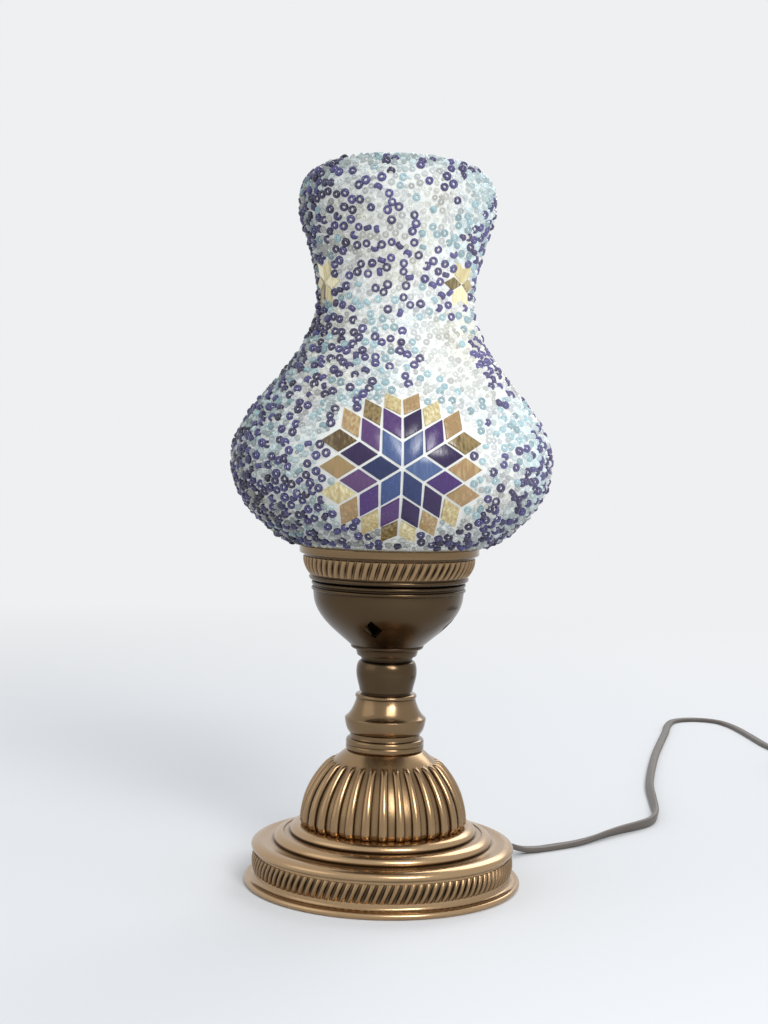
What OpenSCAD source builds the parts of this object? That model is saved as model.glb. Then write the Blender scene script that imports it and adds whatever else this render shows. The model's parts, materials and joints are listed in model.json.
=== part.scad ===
// Mosaic table lamp: a glass shade covered in beads and rhomb tiles on a stacked brass foot.
// Millimetres, +Z up, origin at the centre of the foot on the surface that it stands on.
// The front of the lamp faces -Y. Angles round the shade are counted from the front towards +X.

/* [Foot] */
// Radius of the rolled flange at the bottom
foot_r = 69.5; // [68.5:0.5:76]
// Outer radius of the foot's upright wall
wall_r = 64.2; // [63.8:0.1:64.6]
// Thickness of the pressed brass sheet
sheet_t = 1.2; // [0.9:0.1:1.4]
// Diameter of the rolled flange's edge
flange_h = 3; // [2.4:0.1:3.4]
// Height of the upright wall
wall_h = 12.6; // [12.2:0.2:18]
// Height of the rounded lip above the wall
lip_h = 4; // [3.6:0.1:5]
// Height of each of the two terraces on the foot
terrace_h = 4.1; // [3.2:0.1:4.8]
// Radius of the outer terrace
outer_terrace_r = 54.5; // [53:0.5:56]
// Radius of the inner terrace
inner_terrace_r = 46.5; // [45.5:0.5:48]
// Height of the slanted rope band on the wall
foot_band_h = 9.2; // [7:0.2:10.4]
// Number of ridges in the foot's rope band
foot_band_n = 106; // [80:2:130]
// Height of the ridges of both rope bands
ridge_t = 1.5; // [1:0.1:1.8]

/* [Underside] */
// Thickness of the felt under the foot
felt_t = 1.6; // [1:0.2:3]
// Thickness of the fibre disc that carries the felt
card_t = 0.8; // [0.6:0.1:1.2]
// Thickness of the iron weight's web
web_t = 4.8; // [3:0.2:5]
// Width of the iron weight's rim
weight_rim_w = 7.4; // [5:0.2:9]
// Radius of the threaded tube
rod_r = 5; // [4.8:0.1:5.4]
// Radius of the threaded tube's bore
rod_bore_r = 4; // [3.9:0.05:4.2]
// Clearance between the tube and what it passes through
rod_play = 0.05; // [0.02:0.01:0.1]
// Width across flats of the nuts
nut_af = 17; // [15:0.5:19]
// Thickness of the nuts
nut_t = 4; // [3:0.2:4.2]
// Radius of the washer under the weight
washer_r = 14; // [12:0.5:18]
// Thickness of the washers
washer_t = 1.2; // [1:0.1:1.6]

/* [Dome] */
// Radius of the ribbed dome at its foot
dome_r = 42; // [40:0.5:43]
// Height of the ribbed dome
dome_h = 37.4; // [32:0.5:44]
// Radius of the dome's top
dome_top_r = 19.4; // [17:0.2:21]
// Number of ribs
rib_n = 30; // [24:1:36]
// Height of a rib at the dome's foot
rib_h = 2; // [1.2:0.1:2.4]
// Wall of the dome behind the ribs
dome_wall = 1.4; // [1.2:0.1:1.8]

/* [Knops] */
// Height of the collar on the dome
collar_h = 6.2; // [5:0.2:8]
// Radius of the collar
collar_r = 19.6; // [18:0.2:21]
// Radius of the groove over the collar
groove_r = 18; // [16.6:0.2:18.4]
// Height of the groove
groove_h = 2.4; // [1.8:0.2:3]
// Radius of the large knop's sharp ridge
knop_r = 20.4; // [19.4:0.2:24]
// Height of the large knop
knop_h = 20; // [18:0.5:24]
// Radius of the large knop's top lip
knop_top_r = 15.4; // [14:0.2:16.4]
// Radius of the upper knop
upper_r = 15.2; // [14:0.1:16]
// Height of the upper knop
upper_h = 19; // [17:0.5:23]

/* [Gallery] */
// Radius of the bowl's flat bottom
bowl_foot_r = 15; // [14:0.2:16]
// Radius of the bowl under its rim
bowl_r = 37.6; // [37:0.1:38.2]
// Height of the bowl up to the step
bowl_h = 38.2; // [36:0.2:42]
// Height of the conical wall over the step
cone_h = 13; // [12:0.2:15]
// How far the conical wall opens
cone_out = 3.6; // [3:0.1:4.2]
// Height of the gallery's rope band
bowl_band_h = 8.6; // [7:0.2:9.4]
// Number of ridges in the gallery's rope band
bowl_band_n = 65; // [50:1:80]
// Height of the plain rim
rim_h = 4.4; // [3.6:0.2:6]
// Width across the pierced diamonds
diamond_w = 9.6; // [6:0.2:11]
// Direction of the first pierced diamond, in degrees from the front
diamond_az = -14; // [-45:1:45]

/* [Shade] */
// Play between the glass neck and the gallery that it stands in
tube_play = 0.3; // [0.25:0.05:0.8]
// Thickness of the glass
glass_t = 2.5; // [1.8:0.1:3]
// How far the glass flares out over its neck, where the mosaic starts
flare_out = 8.7; // [7.7:0.1:10]
// Radius of the glass at the belly
belly_r = 76.2; // [70:0.2:84]
// Height of the belly's widest point over the rim
belly_rise = 41.6; // [36:0.2:48]
// Radius of the glass at the narrow neck
neck_r = 35.4; // [32:0.2:42]
// Height of the neck over the belly
neck_rise = 81; // [74:0.5:92]
// Radius of the glass at the upper swelling
crown_r = 45.2; // [43:0.2:54]
// Height of the upper swelling over the neck
crown_rise = 47; // [40:0.5:54]
// Height of the glass's top over the upper swelling
top_rise = 17.6; // [15:0.2:28]
// Radius of the vent opening in the glass
vent_r = 14; // [11:0.5:17]
// Width of the cream ring round the vent
vent_ring_w = 2; // [1.6:0.1:3]

/* [Mosaic] */
// Thickness of the grout on the glass
grout_t = 1.2; // [0.8:0.1:1.6]
// Height of the beads over the grout
bead_t = 2; // [1.4:0.1:2.2]
// Height of the tiles over the grout
tile_t = 1.8; // [1.2:0.1:2]
// Radius of a seed bead
bead_r = 2.2; // [1.6:0.1:2.6]
// How far the single raised beads stand out of the coat
bead_up = 0.8; // [0.4:0.1:1]
// Distance from one raised bead to the next
bead_apart = 13; // [12:0.5:20]
// Distance from tile to tile in the big stars
star_pitch = 11.6; // [9:0.1:12]
// Distance from tile to tile in the small flowers
flower_pitch = 7.3; // [5:0.1:8]
// Width of the grout line between tiles
grout_w = 1.2; // [0.8:0.1:1.6]
// Direction of the first big star, in degrees from the front
star_az = 3.4; // [-60:0.2:60]
// Direction of the first small flower, in degrees from the front
flower_az = 56; // [0:1:110]

/* [Lamp holder] */
// Outer radius of the lamp holder
holder_r = 13.6; // [13.2:0.1:14.4]
// Wall of the holder's cap and skirt
holder_wall = 1.6; // [1.2:0.1:1.8]
// Height of the holder's skirt
skirt_h = 34; // [33:0.5:37]
// Crest radius of the bulb's screw cap
thread_r = 6.95; // [6.8:0.05:7]
// Depth of the screw thread
thread_d = 0.8; // [0.6:0.05:0.9]
// Pitch of the screw thread
thread_pitch = 2.82; // [2.6:0.02:3]
// Radius of the bulb's glass ball
ball_r = 22.5; // [20:0.5:24]

/* [Cord] */
// Width of the flat cord
cord_w = 5.5; // [5:0.1:5.6]
// Thickness of the flat cord
cord_t = 3.2; // [2.8:0.1:3.3]
// Radius of the bushing's barrel in the foot's wall
bushing_r = 4.45; // [4.2:0.05:4.6]

/* [Switch and plug] */
// Length of the switch on the cord
switch_l = 62; // [58:1:66]
// Width of the switch
switch_w = 26; // [24:0.5:30]
// Height of the switch
switch_h = 16.6; // [16:0.2:19]
// Wall of the switch's shells
switch_wall = 1.8; // [1.4:0.1:2.2]
// Tilt of the rocker to each side, in degrees
rocker_tilt = 8; // [4:1:9]
// Width of the plug's body
plug_w = 35.3; // [33:0.1:37]
// Thickness of the plug's body
plug_t = 13.7; // [13:0.1:15]
// Length of the plug's body
plug_l = 36; // [32:0.5:40]
// Radius of the plug's pins
pin_r = 2; // [1.9:0.05:2.1]
// Length of the pins outside the plug
pin_l = 19; // [18:0.5:20]
// Distance between the pins
pin_pitch = 18.6; // [17.5:0.1:19]

/* [Hidden] */
$fn = 96;
brass = "#9a7440";
old_brass = "#6f5430";
eps = 0.01;

// Heights from the surface up
card_z = felt_t;
weight_z = card_z + card_t;
wall_z = flange_h + 2;
wall_top = wall_z + wall_h;
lip_top = wall_top + lip_h - 0.2;
foot_top = lip_top + 2 * terrace_h;
foot_r_in = dome_r - 6;
web_top = lip_top - sheet_t;
web_z = web_top - web_t;
washer_z = web_z - washer_t;
nut_z = washer_z - nut_t;
rod_z = nut_z - 0.4;
dome_top = foot_top + dome_h;
collar_top = dome_top + collar_h + groove_h;
knop_top = collar_top + knop_h;
upper_top = knop_top + upper_h;
bowl_floor = upper_top + sheet_t;
step_z = upper_top + bowl_h;
seat_z = step_z + sheet_t;
cone_top = step_z + cone_h;
rim_top = cone_top + rim_h;

// Gallery wall and the seat of the glass
cone_r = bowl_r + 1.8;
seat_r = cone_r - sheet_t;
rim_r = cone_r + cone_out + 2;
tube_r = seat_r - tube_play;
flare_r = tube_r + flare_out;
pierce_in = bowl_foot_r + 6.6;
pierce_out = bowl_r + 4;

// Weight and foot cavity
weight_r = wall_r - sheet_t - 0.6;
felt_r = weight_r - 0.4;

// Lamp holder and bulb
bowl_nut_z = bowl_floor + washer_t;
holder_z = bowl_nut_z + nut_t + 0.3;
rod_top = holder_z + 9;
cap_top = holder_z + 17;
block_top = cap_top + 9;
holder_top = cap_top + skirt_h;
thread_z = block_top + 5.5;
thread_n = 5;
thread_top = thread_z + thread_n * thread_pitch;
thread_play = 0.05;
tip_z = block_top + 1.4;
ball_z = thread_top + 13 + ball_r;

// Cord outlet
outlet_az = 38.5;
outlet_z = 11;
bushing_out = wall_r + 4.4;
bushing_in = wall_r - sheet_t - 1.5;
flex_r = 10;
flex_z = weight_z + cord_t / 2 + 0.4;
grip_s = 48;

// Straight lines, curves and offsets in one plane
function bezier(a, b, c, d, n) = [for (i = [0:n - 1]) let (t = i / n)
    pow(1 - t, 3) * a + 3 * t * pow(1 - t, 2) * b + 3 * t * t * (1 - t) * c + pow(t, 3) * d];
function backwards(list) = [for (i = [len(list) - 1:-1:0]) list[i]];
function arc(centre, r, from, to, n) = [for (i = [0:n]) let (a = from + (to - from) * i / n)
    centre + r * [cos(a), sin(a)]];
function way(line, i) = let (d = line[min(i + 1, len(line) - 1)] - line[max(i - 1, 0)]) d / norm(d);
function shifted(line, by) = [for (i = [0:len(line) - 1]) let (t = way(line, i))
    line[i] + by * [t.y, -t.x]];
function layer(line, low, high) = concat(shifted(line, high), backwards(shifted(line, low)));
function turned(p, a) = [p.x * cos(a) - p.y * sin(a), p.x * sin(a) + p.y * cos(a)];
function round_rect(l, w, r) = concat(
    arc([w / 2 - r, l / 2 - r], r, 0, 90, 4), arc([r - w / 2, l / 2 - r], r, 90, 180, 4),
    arc([r - w / 2, r - l / 2], r, 180, 270, 4), arc([w / 2 - r, r - l / 2], r, 270, 360, 4));

// Faces of a mesh made of rings: closed on itself, or a tube with two ends
function band_faces(m, n, last) = [for (i = [0:last], j = [0:n - 1])
    let (a = i * n + j, b = i * n + (j + 1) % n, k = ((i + 1) % m) * n, c = k + (j + 1) % n, d = k + j)
    each [[a, d, c], [a, c, b]]];
function tube_faces(m, n) = concat(band_faces(m, n, m - 2),
    [for (j = [1:n - 2]) [0, j, j + 1]],
    [for (j = [1:n - 2]) [(m - 1) * n, (m - 1) * n + j + 1, (m - 1) * n + j]]);
module ring_mesh(rows) {
    n = len(rows[0]);
    polyhedron([for (row = rows) each row], band_faces(len(rows), n, len(rows) - 1), convexity = 8);
}
module lathe(points) rotate_extrude() polygon(points);
module tube(r_out, r_in, h) difference() {
    cylinder(r = r_out, h = h);
    translate([0, 0, -1]) cylinder(r = r_in, h = h + 2);
}
module toward(az) rotate([0, 0, az]) rotate([0, 90, 0]) children();

// Rope band: slanted ridges on a ring that swells between its two edges
rope_rows = [0, 0.18, 0.5, 0.82, 1];
band_gap = 0.1;
function swell(f) = sin(180 * (0.12 + 0.76 * f));
function rope_row(n, z, h, r_low, r_high, f, slant) = [for (j = [0:2 * n - 1])
    let (a = 180 * j / n + slant * f,
        r = r_low + (r_high - r_low) * f + ridge_t * swell(f) * (j % 2 == 0 ? 0.45 : 1))
    [r * cos(a), r * sin(a), z + h * f]];
function rope_back(n, z, h, r, f, slant) = [for (j = [0:2 * n - 1])
    let (a = 180 * j / n + slant * f) [(r + band_gap) * cos(a), (r + band_gap) * sin(a), z + h * f]];
module rope_band(n, z, h, r_low, r_high, slant) ring_mesh(concat(
    [for (f = rope_rows) rope_row(n, z, h, r_low, r_high, f, slant)],
    [rope_back(n, z, h, r_high, 1, slant), rope_back(n, z, h, r_low, 0, slant)]));

// Foot
lip_r = wall_r + 1.8;
roll_w = 4.6;
function roll(r, top, h) = [for (a = [-20:22:90]) [r - roll_w + roll_w * cos(a), top - 0.75 * h * (1 - sin(a))]];
foot_line = concat([[wall_r - 0.6, flange_h], [wall_r, wall_z], [wall_r, wall_top]],
    roll(lip_r, lip_top, lip_h - 0.2), [[outer_terrace_r + 3, lip_top - 0.1]],
    roll(outer_terrace_r + 0.4, lip_top + terrace_h, terrace_h),
    [[inner_terrace_r + 2.6, lip_top + terrace_h - 0.1]],
    roll(inner_terrace_r + 0.4, foot_top, terrace_h), [[foot_r_in, foot_top]]);
foot_under = [[foot_r_in, foot_top - sheet_t], [inner_terrace_r - 2.6, foot_top - sheet_t],
    [inner_terrace_r - 2.6, lip_top + terrace_h - sheet_t],
    [outer_terrace_r - 2.6, lip_top + terrace_h - sheet_t],
    [outer_terrace_r - 2.6, lip_top - sheet_t], [wall_r - sheet_t, lip_top - sheet_t],
    [wall_r - sheet_t, flange_h]];
module foot_shell() color(old_brass) difference() {
    union() {
        lathe(concat(foot_line, foot_under));
        lathe([[wall_r - sheet_t, 0.6], [foot_r - flange_h / 2, 0.6], [foot_r - flange_h / 2, flange_h],
            [wall_r + 1.6, flange_h + 0.1], [wall_r, wall_z - 0.8], [wall_r - sheet_t, wall_z - 0.8]]);
        rotate_extrude() translate([foot_r - flange_h / 2, flange_h / 2 + 0.2]) circle(r = flange_h / 2, $fn = 24);
    }
    outlet_hole();
}
module outlet_hole() translate([0, 0, outlet_z]) toward(outlet_az)
    translate([0, 0, wall_r - 8]) cylinder(r = bushing_r + rod_play, h = 16);
module foot_rope_band() color(brass) difference() {
    rope_band(foot_band_n, wall_z + 0.4 * (wall_h - foot_band_h), foot_band_h, wall_r, wall_r, 3.4);
    outlet_hole();
}

// Iron weight that the foot is pulled down on, with a way for the cord through its rim
module ballast_ring() color("#3b3a38") difference() {
    lathe([[rod_r + rod_play, web_z], [weight_r - weight_rim_w, web_z], [weight_r - weight_rim_w, weight_z],
        [weight_r, weight_z], [weight_r, web_top - 1], [weight_r - 1, web_top], [rod_r + rod_play, web_top]]);
    rotate([0, 0, outlet_az]) translate([weight_r - weight_rim_w - 2, -bushing_r - 0.8, weight_z - 1])
        cube([weight_rim_w + 4, 2 * bushing_r + 1.6, outlet_z + bushing_r + 1.6 - weight_z]);
    for (side = [-1, 1]) rotate([0, 0, outlet_az]) translate([grip_s, side * 6, web_z - 1])
        cylinder(r = 1.5, h = 4.4);
}
module base_card() color("#4a3a2a") translate([0, 0, card_z]) cylinder(r = felt_r, h = card_t);
module base_felt() color("#2f3b2f") cylinder(r = felt_r, h = felt_t);

// Threaded tube with its nuts and washers
module threaded_rod() color(brass) translate([0, 0, rod_z]) tube(rod_r, rod_bore_r, rod_top - rod_z);
module nut(z) translate([0, 0, z]) difference() {
    cylinder(r = nut_af / sqrt(3), h = nut_t, $fn = 6);
    translate([0, 0, -1]) cylinder(r = rod_r + rod_play, h = nut_t + 2);
}
module base_nut() color("silver") nut(nut_z);
module base_washer() color("silver") translate([0, 0, washer_z]) tube(washer_r, rod_r + rod_play, washer_t);
module bowl_nut() color(brass) nut(bowl_nut_z);
module bowl_washer() color(brass) translate([0, 0, bowl_floor]) tube(11, rod_r + rod_play, washer_t);

// Cord outlet: bushing in the wall, grip under the weight
module flat_slot(h) linear_extrude(height = h)
    polygon(round_rect(cord_w + 0.3, cord_t + 0.3, 1.2));
module cord_bushing() color("#1c1a18") translate([0, 0, outlet_z]) toward(outlet_az) difference() {
    union() {
        translate([0, 0, bushing_in]) cylinder(r = bushing_r, h = bushing_out - bushing_in);
        translate([0, 0, wall_r + ridge_t + 0.2]) cylinder(r = bushing_r + 1.5, h = 2.2);
    }
    translate([0, 0, bushing_in - 1]) flat_slot(bushing_out - bushing_in + 2);
}
module cord_grip() color("#1c1a18") rotate([0, 0, outlet_az]) difference() {
    translate([grip_s - 5, -9, weight_z + 0.3]) cube([10, 18, web_z - weight_z - 0.3]);
    translate([grip_s - 6, -cord_w / 2 - 0.1, outlet_z - cord_t / 2 - 0.1]) cube([12, cord_w + 0.2, cord_t + 0.2]);
    for (side = [-1, 1]) translate([grip_s, side * 6, weight_z]) {
        cylinder(r = 1.5, h = web_z);
        cylinder(r = 2.9, h = 2.6);
    }
}
module grip_screws() color("silver") for (side = [-1, 1])
    rotate([0, 0, outlet_az]) translate([grip_s, side * 6, weight_z + 0.8]) difference() {
        union() {
            cylinder(r = 2.8, h = 1.8);
            cylinder(r = 1.45, h = web_z + 3 - weight_z - 0.8);
        }
        translate([-3, -0.4, -1]) cube([6, 0.8, 1.6]);
    }

// Ribbed dome: separate convex ribs on a domed shell, with round ends under a smooth cap
dome_shares = [0, 0.06, 0.18, 0.32, 0.46, 0.58, 0.68, 0.75, 0.79, 0.82, 0.9, 1];
function on_curve(a, b, c, d, t) =
    pow(1 - t, 3) * a + 3 * t * pow(1 - t, 2) * b + 3 * t * t * (1 - t) * c + pow(t, 3) * d;
dome_in_r = dome_r - rib_h;
dome_line = concat([[dome_in_r - 1, foot_top], [dome_in_r - 0.4, foot_top + 0.7]],
    [for (t = dome_shares) on_curve([dome_in_r, foot_top + 2], [dome_in_r, foot_top + 2 + 0.4 * dome_h],
        [dome_top_r + 10.6, dome_top - 0.22 * dome_h], [dome_top_r, dome_top], t)]);
rib_ends = [0, 0.8, 1, 1, 1, 1, 1, 1, 1, 0.95, 0.7, 0, 0, 0];
rib_profile = [[0.22, 0], [0.33, 0.78], [0.5, 1], [0.67, 0.78], [0.78, 0]];
function rib_row(p, out, height) = [for (k = [0:rib_n - 1], q = rib_profile)
    let (a = 360 * (k + q.x) / rib_n, r = p.x + out.x * height * q.y)
    [r * cos(a), r * sin(a), p.y + out.y * height * q.y]];
dome_out = shifted(dome_line, 1) - dome_line;
dome_back = [for (i = [len(dome_line) - 3:-2:0]) dome_line[i] - [dome_wall + 0.6, 0]];
flat = [0, 0];
module fluted_dome() color(brass) difference() {
    ring_mesh(concat([for (i = [0:len(dome_line) - 1])
            rib_row(dome_line[i], dome_out[i], rib_h * rib_ends[i] * (0.5 + 0.5 * dome_line[i].x / dome_r))],
        [rib_row([rod_r - 1, dome_top], flat, 0), rib_row([rod_r - 1, dome_top - dome_wall], flat, 0)],
        [rib_row([dome_top_r - dome_wall - 2, dome_top - dome_wall], flat, 0)],
        [for (p = dome_back) rib_row(p, flat, 0)]));
    translate([0, 0, dome_top - 10]) cylinder(r = rod_r + rod_play, h = 20);
}

// Turned pieces over the dome
module dome_collar() color(old_brass) lathe(concat([[rod_r + rod_play, dome_top]],
    arc([collar_r - 1.4, dome_top + 1.4], 1.4, -90, 0, 4),
    arc([collar_r - 1.4, dome_top + collar_h - 1.4], 1.4, 0, 90, 4),
    [[groove_r, dome_top + collar_h], [groove_r - 0.3, collar_top], [rod_r + rod_play, collar_top]]));
ridge_z = collar_top + 0.38 * knop_h;
module baluster_knop() color(brass) lathe(concat([[rod_r + rod_play, collar_top], [groove_r - 0.3, collar_top]],
    bezier([groove_r, collar_top + 0.4], [knop_r - 0.8, collar_top + 1.6], [knop_r - 0.3, ridge_z - 3],
        [knop_r, ridge_z - 0.4], 5),
    bezier([knop_r, ridge_z], [knop_r - 2.8, ridge_z + 2.4], [knop_top_r + 0.9, ridge_z + 0.26 * knop_h],
        [knop_top_r - 0.5, knop_top - 2.8], 7),
    arc([knop_top_r - 1.1, knop_top - 1.1], 1.1, -60, 90, 5), [[rod_r + rod_play, knop_top]]));
module upper_knop() color(brass) lathe(concat(
    [[rod_r + rod_play, knop_top], [upper_r - 2.8, knop_top], [upper_r - 2.8, knop_top + 1]],
    bezier([upper_r - 1.8, knop_top + 1.2], [upper_r - 1.4, knop_top + 0.25 * upper_h],
        [upper_r, knop_top + 0.4 * upper_h], [upper_r, knop_top + 0.58 * upper_h], 6),
    bezier([upper_r, knop_top + 0.58 * upper_h], [upper_r, knop_top + 0.76 * upper_h],
        [upper_r - 0.9, knop_top + 0.86 * upper_h], [upper_r - 2.2, knop_top + 0.87 * upper_h], 6),
    [[upper_r - 2.2, knop_top + 0.9 * upper_h], [upper_r - 1.6, upper_top], [rod_r + rod_play, upper_top]]));

// Gallery bowl: two stages, four pierced diamonds and two bead rings
bowl_line = concat([[rod_r + rod_play, upper_top], [bowl_foot_r, upper_top]],
    [[bowl_foot_r + 1, upper_top + 0.11 * bowl_h]],
    bezier([bowl_foot_r + 3.5, upper_top + 0.13 * bowl_h], [bowl_foot_r + 10, upper_top + 0.3 * bowl_h],
        [bowl_r - 0.6, upper_top + 0.5 * bowl_h], [bowl_r, upper_top + 0.8 * bowl_h], 8),
    [[bowl_r, upper_top + 0.8 * bowl_h], [bowl_r, step_z - 0.8]]);
module gallery_bowl() color(brass) difference() {
    union() {
        lathe(concat(bowl_line, [[cone_r - 0.2, step_z - 0.4]],
            arc([cone_r - 0.6, step_z + 1], 1.2, -60, 60, 4),
            [[cone_r, step_z + 2.6], [cone_r + cone_out, cone_top], [seat_r + cone_out, cone_top],
                [seat_r, step_z + 4], [seat_r, seat_z], [bowl_r - sheet_t, seat_z]],
            backwards(shifted(bowl_line, -sheet_t))));
        for (z = [0.88, 0.95]) rotate_extrude()
            translate([bowl_r + 0.1, upper_top + z * bowl_h]) circle(r = 1, $fn = 20);
        rotate_extrude() translate([bowl_foot_r + 2, upper_top + 0.13 * bowl_h]) circle(r = 1.3, $fn = 20);
    }
    for (k = [0:3]) rotate([0, 0, diamond_az + 90 * k]) translate([0, 0, upper_top + 0.42 * bowl_h])
        rotate([90, 0, 0]) translate([0, 0, pierce_in]) rotate([0, 0, 45])
            linear_extrude(height = pierce_out - pierce_in) square(diamond_w / sqrt(2), center = true);
}
module gallery_rope_band() color(brass)
    rope_band(bowl_band_n, step_z + 2.8, bowl_band_h, band_r(2.8), band_r(2.8 + bowl_band_h), 4);
function band_r(over) = cone_r + cone_out * (over - 2.6) / (cone_h - 2.6);
module gallery_rim() color(old_brass) lathe([[seat_r + cone_out, cone_top], [rim_r - 0.6, cone_top],
    [rim_r, cone_top + 0.8], [rim_r, rim_top - 0.9], [rim_r - 0.8, rim_top], [rim_r - 2.4, rim_top],
    [seat_r + cone_out, rim_top - 0.8]]);

// Lamp holder: cap screwed on the tube, insulating block, skirt, contacts
module holder_cap() color("#2a2622") lathe([[rod_r + rod_play, holder_z], [8, holder_z], [8.4, holder_z + 4],
    [holder_r - 2, holder_z + 8], [holder_r, holder_z + 11], [holder_r, cap_top],
    [holder_r - holder_wall, cap_top], [holder_r - holder_wall, holder_z + 11.6],
    [8, holder_z + 9], [rod_r + rod_play, holder_z + 9]]);
block_r = holder_r - holder_wall;
module holder_block() color("#e6e0d2") difference() {
    union() {
        translate([0, 0, cap_top]) cylinder(r = block_r, h = block_top - cap_top);
        translate([0, 0, block_top - eps]) tube(thread_r + 2.6, thread_r + 0.75, thread_top - block_top - 1);
    }
    for (side = [-1, 1]) translate([side * 6, 0, cap_top - 1]) cylinder(r = 1.3, h = 5);
    for (side = [-1, 1]) translate([side * 6, 0, cap_top + 3]) rotate([90, 0, 0]) cylinder(r = 1.25, h = 20);
}
module holder_skirt() color("#2a2622") translate([0, 0, cap_top]) tube(holder_r, block_r, skirt_h);
wave_steps = 4;
function wave(z, r) = [for (i = [0:thread_n * wave_steps])
    [r - thread_d / 2 + thread_d / 2 * cos(360 * i / wave_steps), z + i * thread_pitch / wave_steps]];
module thread_shell() color(brass) union() {
    lathe(concat(wave(thread_z, thread_r + thread_play + 0.35),
        backwards(wave(thread_z, thread_r + thread_play))));
    translate([0, 0, block_top]) tube(thread_r + 0.7, thread_r + 0.2, thread_z - block_top + 0.2);
}
module centre_contact() color(brass) union() {
    translate([-2, -2, block_top]) cube([4, 4, 0.5]);
    translate([0, 0, block_top]) cylinder(r = 1.6, h = tip_z - block_top);
}
module terminal_screws() color("silver") for (side = [-1, 1]) translate([side * 6, 0, cap_top + 3])
    rotate([90, 0, 0]) translate([0, 0, 1.4]) cylinder(r = 1.2, h = 6);

// Shade: one curve from the neck tube over belly, neck and crown to the vent, as five stacked rings
belly_z = rim_top + belly_rise;
neck_z = belly_z + neck_rise;
crown_z = neck_z + crown_rise;
glass_top = crown_z + top_rise;
flare_z = rim_top + 2.9;
tube_line = concat([[tube_r, seat_z]], bezier([tube_r, rim_top - 5], [tube_r, rim_top - 0.6],
    [flare_r - 4.5, flare_z - 2.2], [flare_r, flare_z], 4));
function handle(a, b, share) = [0, (b - a) * share];
body_line = concat(
    bezier([flare_r, flare_z], [flare_r + 15, flare_z + 7], [belly_r, belly_z] - handle(flare_z, belly_z, 0.44),
        [belly_r, belly_z], 8),
    bezier([belly_r, belly_z], [belly_r, belly_z] + handle(belly_z, neck_z, 0.34),
        [neck_r, neck_z] - handle(belly_z, neck_z, 0.44), [neck_r, neck_z], 9),
    bezier([neck_r, neck_z], [neck_r, neck_z] + handle(neck_z, crown_z, 0.4),
        [crown_r, crown_z] - handle(neck_z, crown_z, 0.24), [crown_r, crown_z], 6),
    bezier([crown_r, crown_z], [crown_r, crown_z] + handle(crown_z, glass_top, 0.62),
        [vent_r + 0.77 * (crown_r - vent_r), glass_top], [vent_r, glass_top], 7));
glass_line = concat(tube_line, body_line, [[vent_r, glass_top]]);
coat_line = concat(body_line, [[vent_r + vent_ring_w, glass_top]]);
glass_in = shifted(glass_line, -glass_t);
flare_at = len(tube_line);
belly_at = flare_at + 8;
neck_at = belly_at + 9;
crown_at = neck_at + 6;
top_at = len(glass_line) - 1;
module glass(low, high) color("#dfe8ea") lathe(concat([for (i = [low:high]) glass_line[i]],
    [for (i = [high:-1:low]) glass_in[i]]));
module shade_tube() glass(0, flare_at);
module shade_belly() glass(flare_at, belly_at);
module shade_shoulder() glass(belly_at, neck_at);
module shade_waist() glass(neck_at, crown_at);
module shade_crown() glass(crown_at, top_at);
module grout_coat() color("#f2efe6") lathe(layer(coat_line, 0, grout_t));
module coat(t) lathe(layer(coat_line, grout_t, grout_t + t));
module vent_rim() color("#efe4c8") lathe([[vent_r - 1.5, glass_top - glass_t - 0.3],
    [vent_r - 0.2, glass_top - glass_t - 0.3], [vent_r - 0.2, glass_top], [vent_r + vent_ring_w, glass_top],
    [vent_r + vent_ring_w, glass_top + grout_t + bead_t - 1.1],
    [vent_r + vent_ring_w - 1, glass_top + grout_t + bead_t],
    [vent_r - 0.6, glass_top + grout_t + bead_t], [vent_r - 1.5, glass_top + grout_t + bead_t - 0.9]]);

// Stars: rhomb tiles on a six-fold lattice, bent over the swell of the glass
star_z = belly_z - 1.5;
flower_z = neck_z + 6;
star_bend = [belly_r + 3, 36];
flower_bend = [neck_r + 3, 2000];
function bent(p, bend) = let (d = norm(p)) d == 0 ? p : let (
    turn = pow(p.x / d, 2) / bend.x + pow(p.y / d, 2) / bend.y) p / d * sin(d * turn * 180 / PI) / turn;
function side(k, pitch, from) = pitch * [cos(from + 60 * k), sin(from + 60 * k)];
function rhomb(k, i, j, pitch, from, gap) = let (a = side(k, pitch, from), b = side(k + 1, pitch, from),
    mid = (i + 0.5) * a + (j + 0.5) * b, keep = 1 - gap / pitch / sin(60))
    [for (c = [[0, 0], [1, 0], [1, 1], [0, 1]]) mid + keep * ((i + c.x) * a + (j + c.y) * b - mid)];
function bent_all(points, bend) = [for (p = points) bent(p, bend)];
function star_edge(pitch, grow) = [for (k = [0:5]) let (a = side(k, pitch, 30), b = side(k + 1, pitch, 30))
    each [for (c = [[3, 0], [3, 1], [2, 1], [2, 2], [1, 2], [1, 3]]) (c.x * a + c.y * b) * grow]];
function flower_edge(pitch, grow) = [for (k = [0:5]) let (a = side(k, pitch, 30), b = side(k + 1, pitch, 30))
    each [a * grow, (a + b) * grow]];
module on_face(az, z, r) rotate([0, 0, az]) translate([0, 0, z]) rotate([90, 0, 0])
    translate([0, 0, r - 30]) linear_extrude(height = 40) children();
module star_tiles(ring) intersection() {
    coat(tile_t);
    for (s = [0:2], k = [0:5], i = [0:ring]) on_face(star_az + 120 * s, star_z, belly_r)
        polygon(bent_all(rhomb(k, i, ring - i, star_pitch, 30, grout_w), star_bend));
}
module star_tiles_blue() color("#26306e") star_tiles(0);
module star_tiles_purple() color("#4a2c70") star_tiles(1);
module star_tiles_gold() color("#b08a3c") star_tiles(2);
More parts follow.
